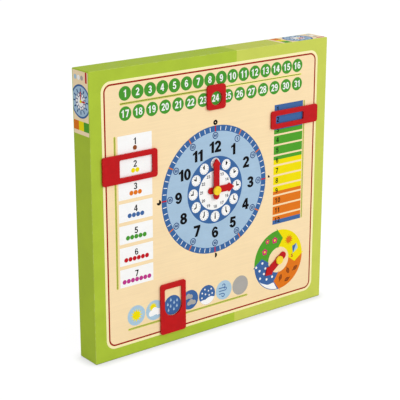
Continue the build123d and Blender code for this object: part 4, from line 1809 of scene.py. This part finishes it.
@dataclass
class WeatherRow:
    """Seven discs with plain weather signs.

    Attributes:
        first: The first disc's place.
        pitch: From one disc to the next.
        size: A disc, across.
        suns: Each sun's disc, its place there and the radii of its rays.
        fair_cloud, dull_clouds: The place and half width of each cloud on its disc.
        cloud_parts, cloud_base: The circles of a cloud and its flat base, for one of half width one.
        drops, drop_radius: The drops' places on their disc, and their radius.
        drop_arc, drop_tip: The round part of a drop, and its tip's height.
        flakes, flake_radius: The flakes' places on their disc, and their radius.
        hill, hill_arc, hill_inset: The hill's crest, where it meets the disc's edge, and how far inside that.
        gusts, gust_width: The place, length and curl of each line of wind, and its width.
        curl_steps, curl_turn, curl_tightening: In how many steps a line curls, and by how much each turns
            and tightens it.
    """

    first: Point = (-127.7, 51.4)
    pitch: float = 28.4
    size: float = 27.0
    suns: tuple[tuple[Weather, Point, Point], ...] = ((Weather.SUN, (0.0, 0.0), (9.4, 5.2)),
                                                      (Weather.FAIR, (-2.4, 4.6), (6.6, 4.0)))
    fair_cloud: Triple = (1.0, -3.4, 10.4)
    dull_clouds: tuple[Triple, ...] = ((-2.0, 4.0, 7.0), (2.6, -4.8, 7.4))
    cloud_parts: tuple[Triple, ...] = ((-0.55, -0.05, 0.42), (-0.08, 0.2, 0.5), (0.5, 0.0, 0.45))
    cloud_base: float = 0.38
    drops: tuple[Point, ...] = ((-7.5, 1.5), (-2.6, 7.0), (-3.0, -1.6), (2.6, 2.4), (7.4, 4.6), (7.0, -3.0),
                                (2.2, -6.6), (-6.4, -6.6))
    drop_radius: float = 1.35
    drop_arc: Point = (150, 390)
    drop_tip: float = 3.4
    flakes: tuple[Point, ...] = ((-8.0, 3.6), (-3.6, 8.2), (-2.6, 1.2), (2.4, 5.2), (7.0, 7.0), (8.6, 0.4),
                                 (3.6, -1.0), (-8.6, -3.0))
    flake_radius: float = 1.15
    hill: tuple[Point, ...] = ((7.0, -3.4), (2.0, -4.0), (-3.0, -6.4), (-7.0, -6.2))
    hill_arc: Point = (212, 337)
    hill_inset: float = 0.15
    gusts: tuple[tuple[Point, float, float], ...] = (((-0.6, 3.6), 8.0, 3.0), ((2.2, -0.6), 10.4, 2.4),
                                                     ((-1.6, -4.6), 6.6, -2.8))
    gust_width: float = 1.25
    curl_steps: int = 9
    curl_turn: float = 28.0
    curl_tightening: float = 0.03

    def spot(self, weather: Weather, dx: float = 0.0, dy: float = 0.0) -> Point:
        """A place on a disc, from its middle."""
        return self.first[0] + weather.value * self.pitch + dx, self.first[1] + dy

    def build(self) -> None:
        """Print the discs, then each sign."""
        grounds = (("clear", SKY_BLUE, (Weather.SUN, Weather.FAIR, Weather.WIND)),
                   ("dark", MONTH_BLUE, (Weather.RAIN, Weather.CLOUDS, Weather.SNOW)),
                   ("dull", GREY, (Weather.DULL,)))
        for label, ink, group in grounds:
            FRONT.film(f"weather_discs_{label}", ink, Layer.GROUND,
                       [disc(*self.spot(weather), self.size / 2) for weather in group])
        suns = [star(self.spot(weather, *at), *rays, SUN_ARMS) for weather, at, rays in self.suns]
        fair = [self.cloud(Weather.FAIR, *self.fair_cloud)]
        drops = [self.drop(*self.spot(Weather.RAIN, *at)) for at in self.drops]
        clouds = [self.cloud(Weather.CLOUDS, *cloud) for cloud in self.dull_clouds]
        FRONT.film("weather_suns", MONTH_YELLOW, Layer.FIRST, suns)
        FRONT.film("weather_fair_cloud", WHITE, Layer.SECOND, fair)
        FRONT.film("weather_drops", LIGHT_BLUE, Layer.FIRST, drops)
        FRONT.film("weather_clouds", GREY, Layer.FIRST, clouds)
        FRONT.film("weather_snow", WHITE, Layer.FIRST, self.snow())
        FRONT.film("weather_wind", MONTH_BLUE, Layer.FIRST, [self.gust(*gust) for gust in self.gusts])

    def cloud(self, weather: Weather, dx: float, dy: float, size: float) -> Loop:
        """A cloud on a disc, size being half its width."""
        circles = [tuple(share * size for share in part) for part in self.cloud_parts]
        return lobes(self.spot(weather, dx, dy), circles, self.cloud_base * size)

    def drop(self, x: float, y: float) -> Loop:
        """A rain drop at that place."""
        return [*sweep(x, y, self.drop_radius, self.drop_radius, *self.drop_arc), (x, y + self.drop_tip)]

    def snow(self) -> list[Loop]:
        """Outline flakes over a snowy hill.

        Returns:
            The closed outlines.
        """
        flakes = [disc(*self.spot(Weather.SNOW, *at), self.flake_radius) for at in self.flakes]
        radius = self.size / 2 - self.hill_inset
        hill = sweep(*self.spot(Weather.SNOW), radius, radius, *self.hill_arc)
        return [*flakes, hill + [self.spot(Weather.SNOW, *at) for at in self.hill]]

    def gust(self, at: Point, reach: float, curl: float) -> Loop:
        """Outline a line of wind that curls at its end.

        Args:
            at: Where the curl starts, from the disc's middle.
            reach: The straight part's length.
            curl: The curl's radius, less than nought for one that turns down.

        Returns:
            The closed outline.
        """
        x, y = self.spot(Weather.WIND, *at)
        path = [(x + dx, y) for dx in evenly(-reach, 0.0, 4)]
        for k in range(1, self.curl_steps + 1):
            turn, share = math.radians(self.curl_turn * k), 1 - self.curl_tightening * k
            path.append((x + abs(curl) * share * math.sin(turn), y + curl * share * (1 - math.cos(turn))))
        return stroke(path, self.gust_width)


@dataclass
class Markers:
    """The lacquered frames, hands and pointer, their caps and the metal that holds them.

    Attributes:
        upright: How the grain of an upright piece is stretched along X, Y and Z.
        washer: The washers' colour.
    """

    upright: Triple = (1.0, 1.0, 0.08)
    washer: Colour = (168, 74, 52)

    def dress(self) -> None:
        """Give each its finish, with the grain along its length."""
        dress(Lacquer("lacquer_across"), "weekday_frame", "month_frame", "hour_hand", "season_pointer")
        dress(Lacquer("lacquer_upright", along=self.upright), "weather_frame", "date_frame", "minute_hand")
        dress(Moulding("cap_yellow"), "clock_cap", "season_cap")
        dress(PlatedSteel("pin_steel"), "weekday_pins", "month_pins", "weather_pins", "date_pin", "date_clip",
              "clock_spindle", "season_spindle")
        dress(Pressed("washer_fibre", self.washer, relief=0.05, sheen=0.0), "dial_washer", "hand_washer",
              "season_washer")


@dataclass
class Inside:
    """What the case hides: rear cover and screws, battens, blocks, keepers and felts.

    Attributes:
        upright: How the grain of an upright piece is stretched along X, Y and Z.
    """

    upright: Triple = (1.0, 1.0, 0.05)

    def dress(self) -> None:
        """Give each its finish."""
        dress(Hardboard("cover_hardboard"), "rear_cover")
        dress(PlatedSteel("screw_steel"), "rear_screws")
        blocks = [f"corner_block_{end}_{side}" for end in ("top", "bottom") for side in ("left", "right")]
        dress(Timber("timber_across"), "batten_top", "batten_bottom", "weather_keeper", "date_keeper")
        dress(Timber("timber_upright", along=self.upright), "batten_left", "batten_right", "weekday_keeper",
              "month_keeper", *blocks)
        dress(Pressed("felt_grey"), "weekday_felt", "month_felt", "weather_felt", "date_felt")


# The studio

def bearing(azimuth: float, elevation: float) -> Vector:
    """The way from the board to what stands at those angles, to the right of the front and up."""
    turn, rise = math.radians(azimuth), math.radians(elevation)
    return Vector((math.sin(turn) * math.cos(rise), -math.cos(turn) * math.cos(rise), math.sin(rise)))


@dataclass
class Studio:
    """A pale floor, soft light and the photograph's camera.

    Attributes:
        picture: The picture's width in pixels.
        focal: The camera's focal length in these pixels.
        sensor: The width of its sensor.
        azimuth, elevation: Where it stands, in degrees.
        aim: The point it was fitted on.
        offset: That point's place in the camera, to the right and down.
        distance: Its distance.
        floor_half, floor_drop: Half the floor's width, and how far it lies below the board.
        paper: The floor's grey, as a share of the light.
        seen_white: How much of the floor that is seen is white of its own.
        contact, contact_range, contact_glow: How near the board a painted contact shadow darkens that white,
            and from what openness to what it glows how much.
        sky: The strength of the sky's soft light.
        key_watts, key_size: The large lamp's power and size.
        key_azimuth, key_elevation, key_distance: Where it stands.
    """

    picture: float = 400.0
    focal: float = 1222.0
    sensor: float = 36.0
    azimuth: float = -37.8
    elevation: float = 17.57
    aim: Triple = (0.0, -0.6, 186.0)
    offset: Point = (10.05, -9.85)
    distance: float = 1594.0
    floor_half: float = 4000.0
    floor_drop: float = 0.2
    paper: float = 0.86
    seen_white: float = 0.8
    contact: float = 16.0
    contact_range: Point = (0.5, 1.0)
    contact_glow: Point = (0.8, 1.13)
    sky: float = 0.7
    key_watts: float = 92.0
    key_size: float = 3200.0
    key_azimuth: float = 30.0
    key_elevation: float = 24.0
    key_distance: float = 5000.0

    def build(self) -> None:
        """Set the floor, the light and the camera."""
        self.floor()
        self.world()
        self.lamp()
        self.camera()
        bpy.context.scene.view_settings.view_transform = "Standard"

    @staticmethod
    def seen(work: Nodes) -> Socket:
        """Find the rays that show the background as it is: from the camera, in gloss and through glass.

        Args:
            work: The background's nodes.

        Returns:
            One for such rays.
        """
        path = work.node("ShaderNodeLightPath").outputs
        glossy = work.math("MAXIMUM", path["Is Camera Ray"], path["Is Glossy Ray"])
        return work.math("MAXIMUM", glossy, path["Is Transmission Ray"])

    def floor(self) -> None:
        """Lay a pale floor, white to the camera apart from a light shadow, partly painted into its glow."""
        half, level = self.floor_half * MM, -self.floor_drop * MM
        mesh = bpy.data.meshes.new("floor")
        mesh.from_pydata([(x, y, level) for x, y in panel(-half, -half, half, half)], [], [(0, 1, 2, 3)])
        floor = bpy.data.objects.new("floor", mesh)
        bpy.context.scene.collection.objects.link(floor)
        material = bpy.data.materials.new("floor_paper")
        material.use_nodes = True
        work = Nodes(material.node_tree)
        work.tree.nodes.clear()
        # Painted shadow: an occlusion node dims the floor's glow near the board.
        openness = work.node("ShaderNodeAmbientOcclusion", {"Distance": self.contact * MM}).outputs["AO"]
        strength = work.ramp(openness, *self.contact_range, self.contact_glow, "LINEAR")
        share = work.math("MULTIPLY", self.seen(work), self.seen_white)
        paper = work.node("ShaderNodeBsdfDiffuse", {"Color": (self.paper, self.paper, self.paper, 1.0)})
        glow = work.node("ShaderNodeEmission", {"Strength": strength})
        blend = work.node("ShaderNodeMixShader", {0: share, 1: paper.outputs[0], 2: glow.outputs[0]})
        work.node("ShaderNodeOutputMaterial", {0: blend.outputs[0]})
        mesh.materials.append(material)
        floor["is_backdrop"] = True
        log.info("floor: stage")

    def world(self) -> None:
        """Make a soft white sky, at full white where it is seen."""
        world = bpy.data.worlds.new("soft_sky")
        world.use_nodes = True
        work = Nodes(world.node_tree)
        strength = work.ramp(self.seen(work), 0.0, 1.0, (self.sky, 1.0), "LINEAR")
        work.feed(work.tree.nodes["Background"], {"Color": (1.0, 1.0, 1.0, 1.0), "Strength": strength})
        bpy.context.scene.world = world

    def lamp(self) -> None:
        """Hang one large soft lamp in front, to the right and above."""
        light = bpy.data.lights.new("key_lamp", "AREA")
        light.size = self.key_size * MM
        light.energy = self.key_watts
        lamp = bpy.data.objects.new("key_lamp", light)
        way = bearing(self.key_azimuth, self.key_elevation)
        lamp.location = Vector(self.aim) * MM + way * (self.key_distance * MM)
        lamp.rotation_euler = way.to_track_quat("Z", "Y").to_euler()
        bpy.context.scene.collection.objects.link(lamp)

    def camera(self) -> None:
        """Set up the photograph's camera, from a fit of the case's corners."""
        back, right = bearing(self.azimuth, self.elevation), bearing(self.azimuth + 90.0, 0.0)
        up = back.cross(right)
        data = bpy.data.cameras.new("camera")
        data.sensor_width = self.sensor
        data.lens = self.focal / self.picture * self.sensor
        camera = bpy.data.objects.new("camera", data)
        place = Vector(self.aim) - right * self.offset[0] + up * self.offset[1] + back * self.distance
        camera.matrix_world = Matrix.Translation(place * MM) @ Matrix((right, up, back)).transposed().to_4x4()
        bpy.context.scene.collection.objects.link(camera)
        bpy.context.scene.camera = camera


def main() -> None:
    """Build the board's print, dress its pieces, set the studio and measure the part's and the scene's
    bounds.
    """
    for part in (CaseShell(), FaceBoard()):
        part.build()
        part.dress()
    for part in (DateRows(), WeekdayColumn(), MonthColumn(), ClockDial(), SeasonRing(), WeatherRow()):
        part.build()
    for part in (Markers(), Inside()):
        part.dress()
    Studio().build()
    boxes = {"cad": CAD_BOX, "visual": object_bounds()}
    {name: [list(corner) for corner in box] for name, box in boxes.items()}


if __name__ == "__main__":
    main()
